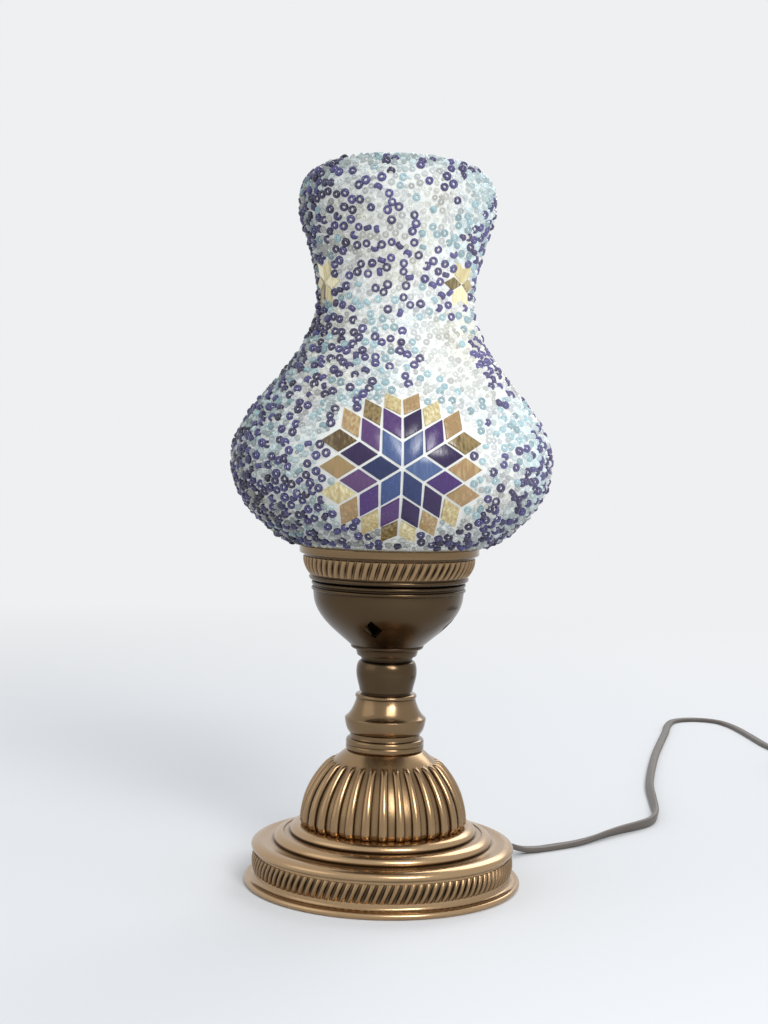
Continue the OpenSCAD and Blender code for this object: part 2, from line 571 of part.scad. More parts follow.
module flower_tiles() color("#b98a35") intersection() {
    coat(tile_t);
    for (s = [0:2], k = [0:5]) on_face(flower_az + 120 * s, flower_z, neck_r)
        polygon(bent_all(rhomb(k, 0, 0, flower_pitch, 30, grout_w), flower_bend));
}
function near(turn, p, z, reach) = cos(turn) > 0
    && norm([p.x * sin(turn) / reach.x, (p.y - z) / reach.y]) < 1;
function bare(az, p) = len([for (s = [0:2]) let (star = star_az + 120 * s, flower = flower_az + 120 * s)
    if (near(az - star, p, star_z, star_room) || near(az - flower, p, flower_z, flower_room)) s]) == 0;
star_room = [3.85, 3.25] * star_pitch;
flower_room = [2.2, 2.4] * flower_pitch;
golden_turn = 137.5;
module raised_beads() for (i = [0:len(coat_line) - 4]) {
    a = coat_line[i];
    b = coat_line[i + 1];
    t = (b - a) / norm(b - a);
    p = (a + b) / 2 + (grout_t + bead_t) * [t.y, -t.x];
    n = round(2 * PI * p.x * norm(b - a) / pow(bead_apart, 2));
    for (k = [0:n - 1]) let (az = 360 * k / n + golden_turn * i) if (bare(az, p))
        rotate([0, 0, az - 90]) translate([p.x, 0, p.y]) rotate([0, atan2(t.y, -t.x), 0])
            translate([0, 0, -0.6]) cylinder(r = bead_r, h = bead_up + 0.6, $fn = 6);
}
module bead_coat() color("#7fb7bf") union() {
    raised_beads();
    difference() {
        coat(bead_t);
        for (s = [0:2]) {
            on_face(star_az + 120 * s, star_z, belly_r)
                polygon(bent_all(star_edge(star_pitch, 1.01), star_bend));
            on_face(flower_az + 120 * s, flower_z, neck_r)
                polygon(bent_all(flower_edge(flower_pitch, 1.03), flower_bend));
        }
    }
}

// Bulb: screw cap, glass ball, stem and filament
glass_wall = 0.8;
cap_neck_r = thread_r + 1.5;
function ball_point(a) = [0, ball_z] + ball_r * [cos(a), sin(a)];
bulb_line = concat([[thread_r - thread_d - 0.5, thread_top - 4], [thread_r - thread_d - 0.5, thread_top + 0.6],
    [cap_neck_r - 0.6, thread_top + 3]],
    bezier([cap_neck_r - 0.6, thread_top + 5.2], [cap_neck_r - 0.6, thread_top + 10],
        ball_point(-50) - 6 * [sin(50), cos(50)], ball_point(-50), 6),
    arc([0, ball_z], ball_r, -50, 80, 14));
module bulb_glass() color("#fff6df") lathe(concat(bulb_line, [[0, ball_z + ball_r]],
    [[0, ball_z + ball_r - glass_wall]], backwards(shifted(bulb_line, -glass_wall))));
module bulb_cap() color("silver") union() {
    lathe(concat(wave(thread_z, thread_r), backwards(wave(thread_z, thread_r - 0.35))));
    lathe([[thread_r - 0.35, thread_top - 0.2], [thread_r - 0.2, thread_top - 0.2], [thread_r, thread_top],
        [cap_neck_r, thread_top + 2.6], [cap_neck_r, thread_top + 4.6], [cap_neck_r - 0.4, thread_top + 4.6],
        [cap_neck_r - 0.4, thread_top + 2.8], [thread_r - 0.35, thread_top + 0.4]]);
}
module bulb_insulator() color("#15130f") lathe([[0, tip_z + 1], [2.6, tip_z + 1],
    [thread_r - thread_d - 0.3, thread_z - 0.6], [thread_r - 0.36, thread_z],
    [thread_r - thread_d - 0.4, thread_z + 1], [0, thread_z + 1]]);
module bulb_tip() color("silver") lathe([[0, tip_z], [1.6, tip_z], [2.4, tip_z + 0.5], [2.4, tip_z + 1], [0, tip_z + 1]]);
stem_top = ball_z - 16;
module bulb_stem() color("#e8f0f0") lathe([[0, thread_top - 5], [5.2, thread_top - 5], [5.2, thread_top - 4],
    [4.7, thread_top - 4], [1.8, thread_top - 1], [1.6, stem_top], [0, stem_top]]);
module filament() color("#6a6660") union() {
    for (side = [-1, 1]) translate([side * 0.9, 0, stem_top + 0.2]) rotate([0, side * 26, 0])
        cylinder(r = 0.3, h = 13.8, $fn = 16);
    translate([-7.4, 0, stem_top + 12.4]) rotate([0, 90, 0]) cylinder(r = 0.55, h = 14.8, $fn = 16);
}

// Cord: a flat section swept along points chosen by hand, each [x, y, height of the underside, roll]
exit_x = bushing_out * cos(outlet_az);
exit_y = bushing_out * sin(outlet_az);
switch_y = 289;
switch_x = 300;
cord_in_z = 4;
coil_x = 338.2;
coil_y = 215;
exit_turn = 7 * [cos(outlet_az), sin(outlet_az)];
route = [[exit_x, exit_y, outlet_z - cord_t / 2, 0],
    [exit_x + exit_turn.x, exit_y + exit_turn.y, outlet_z - cord_t / 2, 0],
    [67, 52.5, 5.2, 0], [76.5, 58.8, 1.2, 0], [87, 65, 0, 0], [97, 71.5, 0, 0], [109, 80, 0, 10],
    [121.5, 93, 0, 30], [135, 107, 0, 55], [148, 119, 0, 75], [158, 132, 0, 85], [164, 152, 0, 75],
    [168, 186, 0, 50], [173, 230, 0, 30], [181.5, 277, 0, 15], [194, 336, 0, 5], [206, 385, 0, 0],
    [217, 428, 0, 0], [224, 458, 0, 0], [233, 480, 0, 0], [250, 489, 0, 0], [267, 482, 0, 0],
    [275.5, 460, 0, 0], [280, 426, 0, 0], [284, 385, 0, 0], [290, 360, 0, 0], [297.5, 341, 0.6, 0],
    [switch_x, switch_y + switch_l / 2 + 8, cord_in_z - cord_t / 2, 0],
    [switch_x, switch_y + switch_l / 2, cord_in_z - cord_t / 2, 0]];
link_route = [[switch_x, switch_y - switch_l / 2, cord_in_z - cord_t / 2, 0],
    [switch_x, switch_y - switch_l / 2 - 6, cord_in_z - cord_t / 2, 0], [switch_x, coil_y + 18, 0, 0],
    [switch_x, coil_y + cord_w, 0, 0]];
half_w = cord_w / 2;
half_t = cord_t / 2;
flat_8 = [[half_w, -0.7], [half_w, 0.7], [half_w - 0.9, half_t], [0.9 - half_w, half_t],
    [-half_w, 0.7], [-half_w, -0.7], [0.9 - half_w, -half_t], [half_w - 0.9, -half_t]];
flat_6 = [[half_w, 0], [half_w - 1.2, half_t], [1.2 - half_w, half_t],
    [-half_w, 0], [1.2 - half_w, -half_t], [half_w - 1.2, -half_t]];
function lift(roll) = max([for (p = flat_8) abs(p.x * sin(roll) + p.y * cos(roll))]);
function spline(a, b, c, d, t) = 0.5 * (2 * b + (c - a) * t + (2 * a - 5 * b + 4 * c - d) * t * t
    + (3 * b - a - 3 * c + d) * t * t * t);
ring_gap = 14;
function smooth(points) = let (last = len(points) - 1) concat([for (i = [0:last - 1]) let (
    b = points[i], c = points[i + 1], a = i == 0 ? 2 * b - c : points[i - 1],
    d = i == last - 1 ? 2 * c - b : points[i + 2],
    n = max(1, round(norm([c.x - b.x, c.y - b.y]) / ring_gap)))
    each [for (j = [0:n - 1]) spline(a, b, c, d, j / n)]], [points[last]]);
function heading(line, i) = let (d = line[min(i + 1, len(line) - 1)] - line[max(i - 1, 0)]) d / norm(d);
function ring(p, t, across, roll, section) = let (s = across / norm(across), u = cross(s, t))
    [for (q = section) p + (q.x * cos(roll) - q.y * sin(roll)) * s + (q.x * sin(roll) + q.y * cos(roll)) * u];
module sweep(line, acrosses, rolls, section) {
    m = len(line);
    polyhedron([for (i = [0:m - 1]) each ring(line[i], heading(line, i), acrosses[i], rolls[i], section)],
        tube_faces(m, len(section)), convexity = 8);
}
function up_line(points) = [for (p = smooth(points)) [p.x, p.y, max(p.z, 0) + lift(p[3])]];
module floor_cord(points) {
    line = up_line(points);
    sweep(line, [for (i = [0:len(line) - 1]) cross(heading(line, i), [0, 0, 1])],
        [for (p = smooth(points)) p[3]], flat_8);
}
cord_colour = "#8a7a66";
module lamp_cord() color(cord_colour) floor_cord(route);
module cord_link() color(cord_colour) floor_cord(link_route);

// Coil: two layers, wound in and then out again, climbing where the winding turns back
coil_gap = 0.6;
coil_r = 38.2;
coil_turns = 5;
turn_back = 2.5;
climb = 0.5;
coil_step = cord_w + coil_gap;
low_z = half_t;
high_z = low_z + cord_t + coil_gap;
function eased(f) = f * f * (3 - 2 * f);
function coil_radius(t) = coil_r - coil_step * turn_back + coil_step * abs(t - turn_back);
function coil_height(t) = low_z + (high_z - low_z) * eased(max(0, min(1, 0.5 + (t - turn_back) / climb)));
coil_rings = 24;
coil_last = coil_turns * coil_rings;
coil_points = [for (i = [0:coil_last]) let (t = i / coil_rings, a = 180 + 360 * t, r = coil_radius(t))
    [coil_x + r * cos(a), coil_y + r * sin(a), coil_height(t)]];
coil_end = coil_points[coil_last] - [0, cord_w, 0];
coil_line = concat([coil_points[0] + [0, cord_w, 0]], coil_points, [coil_end]);
function reach(n) = max([for (q = flat_6) q * n]);
function turn_gap(i, j) = let (apart = [abs(coil_radius(i / coil_rings) - coil_radius(j / coil_rings)),
    abs(coil_points[i].z - coil_points[j].z)])
    max([for (n = [[1, 0], [0, 1], [0.8, 0.6]]) apart * n - 2 * reach(n)]);
coil_least_gap = min([for (i = [0:coil_last], j = [i + coil_rings:coil_rings:coil_last]) turn_gap(i, j)]);
module cord_coil() color(cord_colour) sweep(coil_line,
    [for (i = [0:len(coil_line) - 1]) cross(heading(coil_line, i), [0, 0, 1])],
    [for (p = coil_line) 0], flat_6);
plug_z = plug_t / 2;
relief_l = 25;
relief_y = coil_end.y - 38;
tail_route = [[coil_end.x, coil_end.y, high_z - half_t, 0], [coil_end.x, coil_end.y - 9, high_z - half_t, 0],
    [coil_end.x, relief_y + 9, plug_z - half_t, 0], [coil_end.x, relief_y, plug_z - half_t, 0]];
module cord_tail() color(cord_colour) floor_cord(tail_route);
function run(line) = len(line) < 2 ? 0 : [for (i = 1, s = 0; i <= len(line);
    s = s + (i < len(line) ? norm(line[i] - line[i - 1]) : 0), i = i + 1) s][len(line) - 1];
echo(coil_least_gap = coil_least_gap, coil_length = run(coil_line), route_length = run(up_line(route)),
    link_length = run(up_line(link_route)), tail_length = run(up_line(tail_route)));

// The cord's way inside the foot and up the tube, and the two cores at the holder
flex_plane = concat([[bushing_out, outlet_z], [grip_s + 5, outlet_z], [grip_s - 5, outlet_z],
    [34, (outlet_z + flex_z) / 2 + 0.6], [24, flex_z], [flex_r + 6, flex_z]],
    arc([flex_r, flex_z + flex_r], flex_r, 270, 180, 6), [[0, 40], [0, 80], [0, rod_top + 2]]);
flex_line = [for (p = flex_plane) [p.x * cos(outlet_az), p.x * sin(outlet_az), p.y]];
flex_top = rod_top + 2;
module internal_flex() color(cord_colour) sweep(flex_line,
    [for (p = flex_line) [sin(outlet_az), -cos(outlet_az), 0]], [for (p = flex_line) 0], flat_8);
core_r = 0.95;
core_section = [for (a = [0:60:300]) core_r * [cos(a), sin(a)]];
module core(points, level) sweep(points, [for (i = [0:len(points) - 1])
    cross(heading(points, i), level)], [for (p = points) 0], core_section);
module core_wires() {
    for (side = [-1, 1]) color(side < 0 ? "#6b3f22" : "#2f5fa8")
        core([[side * 1.4 * sin(outlet_az), side * -1.4 * cos(outlet_az), flex_top],
            [side * 1.4 * sin(outlet_az), side * -1.4 * cos(outlet_az), flex_top + 1],
            [side * 2.9, 0, flex_top + 2.8], [side * 5.4, 0, cap_top - 1.7], [side * 6, 0, cap_top],
            [side * 6, 0, cap_top + 3.6]], [0, 1, 0]);
}

// Switch on the cord
split_z = 8.4;
post_r = 3;
posts = [[8, 19], [-8, -19]];
module at_switch() translate([switch_x, switch_y, 0]) children();
module switch_outline(inset, h) linear_extrude(height = h)
    polygon(round_rect(switch_l - 2 * inset, switch_w - 2 * inset, 9 - inset));
module cord_slots() for (side = [-1, 1]) translate([-cord_w / 2 - 0.1, side * switch_l / 2 - 4, cord_in_z - half_t - 0.1])
    cube([cord_w + 0.2, 8, cord_t + 0.2]);
module switch_lower() color("#211f1d") at_switch() difference() {
    union() {
        difference() {
            switch_outline(0, split_z);
            translate([0, 0, switch_wall]) switch_outline(switch_wall, split_z);
        }
        for (p = posts) translate([p.x, p.y, 0]) cylinder(r = post_r, h = split_z);
    }
    cord_slots();
    for (p = posts) translate([p.x, p.y, -1]) {
        cylinder(r = 1.5, h = split_z + 2);
        cylinder(r = 2.6, h = 3);
    }
}
rocker_w = 8.4;
rocker_l = 15.6;
pivot_z = switch_h - 3.4;
pivot_r = 1.2;
module switch_upper() color("#211f1d") at_switch() difference() {
    union() {
        difference() {
            union() {
                translate([0, 0, split_z]) switch_outline(0, switch_h - split_z - 1.4);
                translate([0, 0, switch_h - 1.4]) switch_outline(1.4, 1.4);
            }
            translate([0, 0, split_z - 1]) switch_outline(switch_wall, switch_h - split_z - switch_wall + 1);
        }
        for (p = posts) translate([p.x, p.y, split_z]) cylinder(r = post_r, h = switch_h - split_z - 1);
        for (side = [-1, 1]) translate([side * (rocker_w / 2 + 1.3), 0, (pivot_z - 3 + switch_h - 0.5) / 2])
            cube([1.8, 7, switch_h - 0.5 - pivot_z + 3], center = true);
    }
    translate([0, 0, switch_h]) cube([rocker_w + 0.8, rocker_l + 1.6, 5], center = true);
    translate([-20, 0, pivot_z]) rotate([0, 90, 0]) cylinder(r = pivot_r + 0.05, h = 40);
    for (p = posts) translate([p.x, p.y, split_z - 1]) cylinder(r = 1.4, h = 6);
}
module switch_rocker() color("#b32a1e") translate([switch_x, switch_y, pivot_z]) rotate([-rocker_tilt, 0, 0]) {
    rotate([90, 0, 90]) translate([0, 0, -rocker_w / 2]) linear_extrude(height = rocker_w) polygon(concat(
        [[-rocker_l / 2, 1], [-5, -2], [5, -2], [rocker_l / 2, 1], [rocker_l / 2, 5.4]],
        [for (f = [0.5, 0, -0.5]) [f * rocker_l / 2, 3.6 + 1.8 * abs(f)]], [[-rocker_l / 2, 5.4]]));
    translate([-rocker_w / 2 - 1.6, 0, 0]) rotate([0, 90, 0]) cylinder(r = pivot_r, h = rocker_w + 3.2);
}
module switch_contacts() color(brass) at_switch() {
    for (end = [-1, 1]) translate([2.2, end * 11 - 3.5, switch_wall]) cube([5, 7, 4.6]);
    translate([3.4, -7.4, switch_wall + 2.6]) cube([2.6, 14.8, 0.6]);
}
module switch_wires() at_switch() {
    color("#2f5fa8") core([[-1.4, switch_l / 2, cord_in_z], [-1.4, switch_l / 2 - 4, cord_in_z], [-4, 20, cord_in_z],
        [-4, -20, cord_in_z], [-1.4, 4 - switch_l / 2, cord_in_z], [-1.4, -switch_l / 2, cord_in_z]], [0, 0, 1]);
    for (end = [-1, 1]) color("#6b3f22") core([[1.4, end * switch_l / 2, cord_in_z],
        [1.4, end * (switch_l / 2 - 4), cord_in_z], [3.2, end * 18, cord_in_z],
        [3.2, end * 14.5, cord_in_z]], [0, 0, 1]);
}
module switch_screws() color("silver") at_switch() for (p = posts) translate([p.x, p.y, 0.4]) difference() {
    union() {
        cylinder(r = 2.5, h = 1.5);
        cylinder(r = 1.35, h = 12);
    }
    translate([-3, -0.4, -1]) cube([6, 0.8, 1.6]);
}

// Plug with two round pins
plug_x = coil_end.x;
plug_back = relief_y - relief_l;
plug_front = plug_back - plug_l;
module plug_relief() color("#211f1d") translate([plug_x, plug_back, plug_z]) rotate([-90, 0, 0]) difference() {
    cylinder(r1 = 5.4, r2 = 3.7, h = relief_l);
    for (k = [0:4]) translate([0, 0, 4 + 4 * k]) difference() {
        cylinder(r = 8, h = 1.4);
        translate([0, 0, -1]) cylinder(r = 3.2, h = 4);
    }
}
module plug_body() color("#211f1d") translate([plug_x, plug_front, 0]) difference() {
    linear_extrude(height = plug_t) polygon(concat(
        arc([plug_w / 2 - 3, 3], 3, -90, 0, 4), arc([plug_w / 2 - 9, plug_l * 0.62], 9, 0, 50, 5),
        [[6, plug_l], [-6, plug_l]], arc([9 - plug_w / 2, plug_l * 0.62], 9, 130, 180, 5),
        arc([3 - plug_w / 2, 3], 3, 180, 270, 4)));
    for (side = [-1, 1]) translate([side * pin_pitch / 2, 12, plug_z]) rotate([90, 0, 0])
        cylinder(r = pin_r - 0.5, h = 14);
}
sleeve_l = 10;
module each_pin() for (side = [-1, 1])
    translate([plug_x + side * pin_pitch / 2, plug_front, plug_z]) rotate([90, 0, 0]) children();
module plug_pins() color("silver") each_pin() union() {
    translate([0, 0, -12]) cylinder(r = pin_r - 0.5, h = 12 + sleeve_l);
    translate([0, 0, sleeve_l]) cylinder(r = pin_r, h = pin_l - sleeve_l - 1);
    translate([0, 0, pin_l - 1]) cylinder(r1 = pin_r, r2 = pin_r - 0.9, h = 1);
}
module pin_sleeves() color("#211f1d") each_pin() tube(pin_r, pin_r - 0.5, sleeve_l);

foot_shell();
foot_rope_band();
ballast_ring();
base_card();
base_felt();
threaded_rod();
base_nut();
base_washer();
cord_bushing();
cord_grip();
grip_screws();
internal_flex();
fluted_dome();
dome_collar();
baluster_knop();
upper_knop();
gallery_bowl();
gallery_rope_band();
gallery_rim();
bowl_washer();
bowl_nut();
holder_cap();
holder_block();
holder_skirt();
thread_shell();
centre_contact();
terminal_screws();
core_wires();
shade_tube();
shade_belly();
shade_shoulder();
shade_waist();
shade_crown();
grout_coat();
bead_coat();
star_tiles_blue();
star_tiles_purple();
star_tiles_gold();
flower_tiles();
vent_rim();
bulb_glass();
bulb_cap();
bulb_insulator();
bulb_tip();
bulb_stem();
filament();
lamp_cord();
switch_lower();
switch_upper();
switch_rocker();
switch_contacts();
switch_wires();
switch_screws();
cord_link();
cord_coil();
cord_tail();
plug_relief();
plug_body();
plug_pins();
pin_sleeves();
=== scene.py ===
"""Dresses the mosaic table lamp: spun brass base, beaded shade, bulb, flat cord, switch and plug.

The classes hold their sizes in millimetres, and a mesh is made in metres. The lamp stands on
Z = 0 with its axis on Z and faces -Y. Angles round the shade count from the front towards +X.
"""

from __future__ import annotations

import json
import logging
import math
import random
from collections.abc import Callable, Iterator, Sequence
from contextlib import contextmanager
from dataclasses import dataclass, field
from enum import Enum

import bmesh
import bpy
import numpy as np
from mathutils import Matrix, Vector

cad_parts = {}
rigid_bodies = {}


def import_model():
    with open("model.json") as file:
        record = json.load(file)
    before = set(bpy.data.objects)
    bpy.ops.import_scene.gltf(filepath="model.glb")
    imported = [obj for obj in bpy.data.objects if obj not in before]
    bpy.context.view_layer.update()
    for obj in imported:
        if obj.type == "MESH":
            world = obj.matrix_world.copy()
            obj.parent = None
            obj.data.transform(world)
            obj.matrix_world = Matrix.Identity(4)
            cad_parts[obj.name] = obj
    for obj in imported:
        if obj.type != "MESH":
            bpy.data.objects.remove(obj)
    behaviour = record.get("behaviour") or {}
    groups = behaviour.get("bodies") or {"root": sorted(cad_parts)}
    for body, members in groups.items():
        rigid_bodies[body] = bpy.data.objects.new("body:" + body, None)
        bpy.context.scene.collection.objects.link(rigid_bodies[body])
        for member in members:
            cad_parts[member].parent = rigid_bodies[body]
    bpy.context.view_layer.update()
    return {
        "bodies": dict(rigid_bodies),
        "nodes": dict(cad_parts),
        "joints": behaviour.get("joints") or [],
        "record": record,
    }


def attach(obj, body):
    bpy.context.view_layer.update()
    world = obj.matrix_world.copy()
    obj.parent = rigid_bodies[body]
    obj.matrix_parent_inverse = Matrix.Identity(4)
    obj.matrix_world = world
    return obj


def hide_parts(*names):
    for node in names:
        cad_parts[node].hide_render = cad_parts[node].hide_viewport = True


LOG = logging.getLogger("mosaic_lamp")
MM = 0.001
TURN = 2 * math.pi
Point = tuple[float, float]
Colour = tuple[float, float, float]


class Body(Enum):
    """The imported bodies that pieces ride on."""

    BASE = "base"
    SHADE = "shade"
    BULB = "bulb"
    ROCKER = "rocker"


# Outlines in one plane


def bezier(a: Point, b: Point, c: Point, d: Point, steps: int) -> list[Point]:
    """Points along a cubic curve, without its last end.

    Args:
        a, b, c, d: the curve's ends and handles.
        steps: how many points to give.

    Returns:
        The points from a on.
    """
    points = []
    for i in range(steps):
        t = i / steps
        w = ((1 - t) ** 3, 3 * t * (1 - t) ** 2, 3 * t * t * (1 - t), t**3)
        points.append(tuple(sum(k * p[n] for k, p in zip(w, (a, b, c, d))) for n in (0, 1)))
    return points


def arc(centre: Point, radius: float, start: float, end: float, steps: int = 8) -> list[Point]:
    """Points on a circle's arc, both ends included.

    Args:
        centre: the circle's middle.
        radius: its radius.
        start, end: angles in degrees.
        steps: number of segments.

    Returns:
        The points in order.
    """
    turns = [math.radians(start + (end - start) * i / steps) for i in range(steps + 1)]
    return [(centre[0] + radius * math.cos(t), centre[1] + radius * math.sin(t)) for t in turns]


def beside(line: Sequence[Point], by: float) -> list[Point]:
    """A line moved sideways to its right by a distance.

    Args:
        line: the points.
        by: the distance, negative to the left.

    Returns:
        The moved points.
    """
    moved = []
    for i, (x, y) in enumerate(line):
        ahead, behind = line[min(i + 1, len(line) - 1)], line[max(i - 1, 0)]
        dx, dy = ahead[0] - behind[0], ahead[1] - behind[1]
        size = math.hypot(dx, dy)
        moved.append((x + by * dy / size, y - by * dx / size))
    return moved


def layer(line: Sequence[Point], low: float, high: float) -> list[Point]:
    """The closed outline of a skin that lies along a line.

    Args:
        line: the points of the carrying surface.
        low, high: distances of the skin's two faces from the line.

    Returns:
        The outline's points.
    """
    return beside(line, high) + beside(line, low)[::-1]


def rounded_box(width: float, length: float, radius: float, steps: int = 8) -> list[Point]:
    """The outline of a rectangle with round corners about the origin.

    Args:
        width, length: sizes along x and y.
        radius: of the corners.
        steps: segments in a corner.

    Returns:
        The outline's points.
    """
    x, y = width / 2 - radius, length / 2 - radius
    corners = ((x, y, 0), (-x, y, 90), (-x, -y, 180), (x, -y, 270))
    return [p for cx, cy, a in corners for p in arc((cx, cy), radius, a, a + 90, steps)]


# Modelling tools


def clear_selection() -> None:
    """Deselects every object."""
    for piece in bpy.context.selected_objects:
        piece.select_set(False)


def pick(piece: bpy.types.Object) -> None:
    """Makes a piece the only selected and the active one."""
    clear_selection()
    piece.select_set(True)
    bpy.context.view_layer.objects.active = piece


@contextmanager
def editing(piece: bpy.types.Object) -> Iterator[bmesh.types.BMesh]:
    """Opens a piece in edit mode with everything selected, and closes it again.

    Args:
        piece: the mesh object.

    Yields:
        The mesh as it is edited.
    """
    pick(piece)
    bpy.ops.object.mode_set(mode="EDIT")
    bpy.ops.mesh.select_mode(type="VERT")
    bpy.ops.mesh.select_all(action="SELECT")
    try:
        yield bmesh.from_edit_mesh(piece.data)
    finally:
        bpy.ops.object.mode_set(mode="OBJECT")


def named(name: str) -> bpy.types.Object:
    """Names the primitive that was just added.

    Args:
        name: the piece's name.

    Returns:
        The piece.
    """
    piece = bpy.context.active_object
    piece.name = piece.data.name = name
    return piece


def close_up(piece: bpy.types.Object, near: float = 1e-6) -> None:
    """Merges what meets, drops loose edges and turns all faces outwards.

    Args:
        piece: the mesh object.
        near: merging distance in metres.
    """
    with editing(piece):
        bpy.ops.mesh.remove_doubles(threshold=near)
        bpy.ops.mesh.delete_loose(use_verts=True, use_edges=True, use_faces=False)
        bpy.ops.mesh.select_all(action="SELECT")
        bpy.ops.mesh.normals_make_consistent(inside=False)


def soften(piece: bpy.types.Object, degrees: float = 32) -> bpy.types.Object:
    """Shades a piece smooth except over sharp edges.

    Args:
        piece: the mesh object.
        degrees: the angle from which an edge stays sharp.

    Returns:
        The same piece.
    """
    pick(piece)
    bpy.ops.object.shade_smooth_by_angle(angle=math.radians(degrees))
    return piece


def ring_of_points(name: str, points: Sequence[Vector]) -> bpy.types.Object:
    """A closed ring of edges through points, made from a circle.

    Args:
        name: the piece's name.
        points: the ring's points in metres.

    Returns:
        The new piece.
    """
    clear_selection()
    bpy.ops.mesh.primitive_circle_add(vertices=len(points), radius=1)
    piece = named(name)
    for vertex, point in zip(piece.data.vertices, points):
        vertex.co = point
    return piece


def turned(name: str, outline: Sequence[Point], steps: int = 160) -> bpy.types.Object:
    """A turned piece: a closed outline spun about the lamp's axis.

    Args:
        name: the piece's name.
        outline: radius and height of each point, in millimetres.
        steps: segments round the axis.

    Returns:
        The new piece.
    """
    piece = ring_of_points(name, [Vector((r, 0, z)) * MM for r, z in outline])
    with editing(piece):
        bpy.ops.mesh.spin(steps=steps, angle=TURN, center=(0, 0, 0), axis=(0, 0, 1))
    close_up(piece)
    return soften(piece)


def repeated(
    name: str,
    count: int,
    columns: int,
    rows: int,
    place: Callable[[float, int], tuple[float, float, float]],
) -> bpy.types.Object:
    """A ring that is made once as a sector and then copied round the axis.

    Args:
        name: the piece's name.
        count: number of sectors in the full turn.
        columns: faces across one sector.
        rows: faces along the closed section.
        place: gives angle, radius and height for the share across and the row's number.

    Returns:
        The new piece.
    """
    clear_selection()
    bpy.ops.mesh.primitive_grid_add(x_subdivisions=columns, y_subdivisions=rows, size=1)
    piece = named(name)
    for vertex in piece.data.vertices:
        angle, radius, height = place(vertex.co.x + 0.5, round((vertex.co.y + 0.5) * rows))
        vertex.co = Vector((radius * math.cos(angle), radius * math.sin(angle), height)) * MM
    with editing(piece):
        bpy.ops.mesh.spin(
            steps=count, dupli=True, angle=TURN, center=(0, 0, 0), axis=(0, 0, 1)
        )
    close_up(piece, 2e-6)
    return soften(piece, 40)


def prism(name: str, outline: Sequence[Point], low: float, high: float) -> bpy.types.Object:
    """A flat outline in x and y, extruded upwards.

    Args:
        name: the piece's name.
        outline: the points in millimetres.
        low, high: heights of the two ends.

    Returns:
        The new piece.
    """
    piece = ring_of_points(name, [Vector((x, y, low)) * MM for x, y in outline])
    with editing(piece):
        bpy.ops.mesh.edge_face_add()
        bpy.ops.mesh.extrude_region_move(
            TRANSFORM_OT_translate={"value": (0, 0, (high - low) * MM)}
        )
    close_up(piece)
    return piece


def finish_with(piece: bpy.types.Object, kind: str, **settings: object) -> bpy.types.Object:
    """Adds a modifier to a piece and applies it.

    Args:
        piece: the mesh object.
        kind: the modifier's type.
        settings: its properties.

    Returns:
        The same piece.
    """
    pick(piece)
    modifier = piece.modifiers.new(kind.title(), kind)
    for key, value in settings.items():
        setattr(modifier, key, value)
    bpy.ops.object.modifier_apply(modifier=modifier.name)
    return piece


def bevelled(piece: bpy.types.Object, width: float, segments: int = 3) -> bpy.types.Object:
    """Rounds a piece's sharp edges.

    Args:
        piece: the mesh object.
        width: of the rounding, in millimetres.
        segments: of the rounding.

    Returns:
        The same piece, shaded smooth.
    """
    finish_with(
        piece, "BEVEL", width=width * MM, segments=segments,
        limit_method="ANGLE", angle_limit=math.radians(38),
    )
    return soften(piece, 50)


def cut(piece: bpy.types.Object, cutter: bpy.types.Object) -> None:
    """Takes a cutter's volume out of a piece, and the cutter away.

    Args:
        piece: the piece that is cut.
        cutter: a closed mesh object.
    """
    finish_with(piece, "BOOLEAN", object=cutter, operation="DIFFERENCE", solver="EXACT")
    bpy.data.objects.remove(cutter)


def moved(piece: bpy.types.Object, matrix: Matrix) -> bpy.types.Object:
    """Moves a piece's mesh, so that its object stays at the origin.

    Args:
        piece: the mesh object.
        matrix: the movement in metres.

    Returns:
        The same piece.
    """
    piece.data.transform(matrix)
    piece.data.update()
    return piece


def copies(
    name: str, model: bpy.types.Object, places: Sequence[Matrix], tones: Sequence[float]
) -> bpy.types.Object:
    """One piece that holds many copies of a small model, each with a tone of its own.

    Args:
        name: the piece's name.
        model: the mesh that is copied; it is removed afterwards.
        places: where each copy goes.
        tones: a number for each copy, kept as the attribute "tone".

    Returns:
        The new piece.
    """
    source = model.data
    shape = np.array([v.co[:] for v in source.vertices])
    corners = np.array([loop.vertex_index for loop in source.loops])
    sizes = [len(face.vertices) for face in source.polygons]
    matrices = np.array([m for m in places])
    points = np.einsum("kij,nj->kni", matrices[:, :3, :3], shape) + matrices[:, None, :3, 3]
    faces, start = [], 0
    for size in sizes:
        faces.append(corners[start : start + size])
        start += size
    shift = (np.arange(len(places)) * len(shape)).tolist()
    mesh = bpy.data.meshes.new(name)
    mesh.from_pydata(
        points.reshape(-1, 3), [], [(face + by).tolist() for by in shift for face in faces]
    )
    mark = mesh.attributes.new("tone", "FLOAT", "POINT")
    mark.data.foreach_set("value", np.repeat(np.array(tones, np.float32), len(shape)))
    mesh.polygons.foreach_set("use_smooth", [True] * len(mesh.polygons))
    piece = bpy.data.objects.new(name, mesh)
    bpy.context.scene.collection.objects.link(piece)
    bpy.data.objects.remove(model)
    return piece


# Shader tools


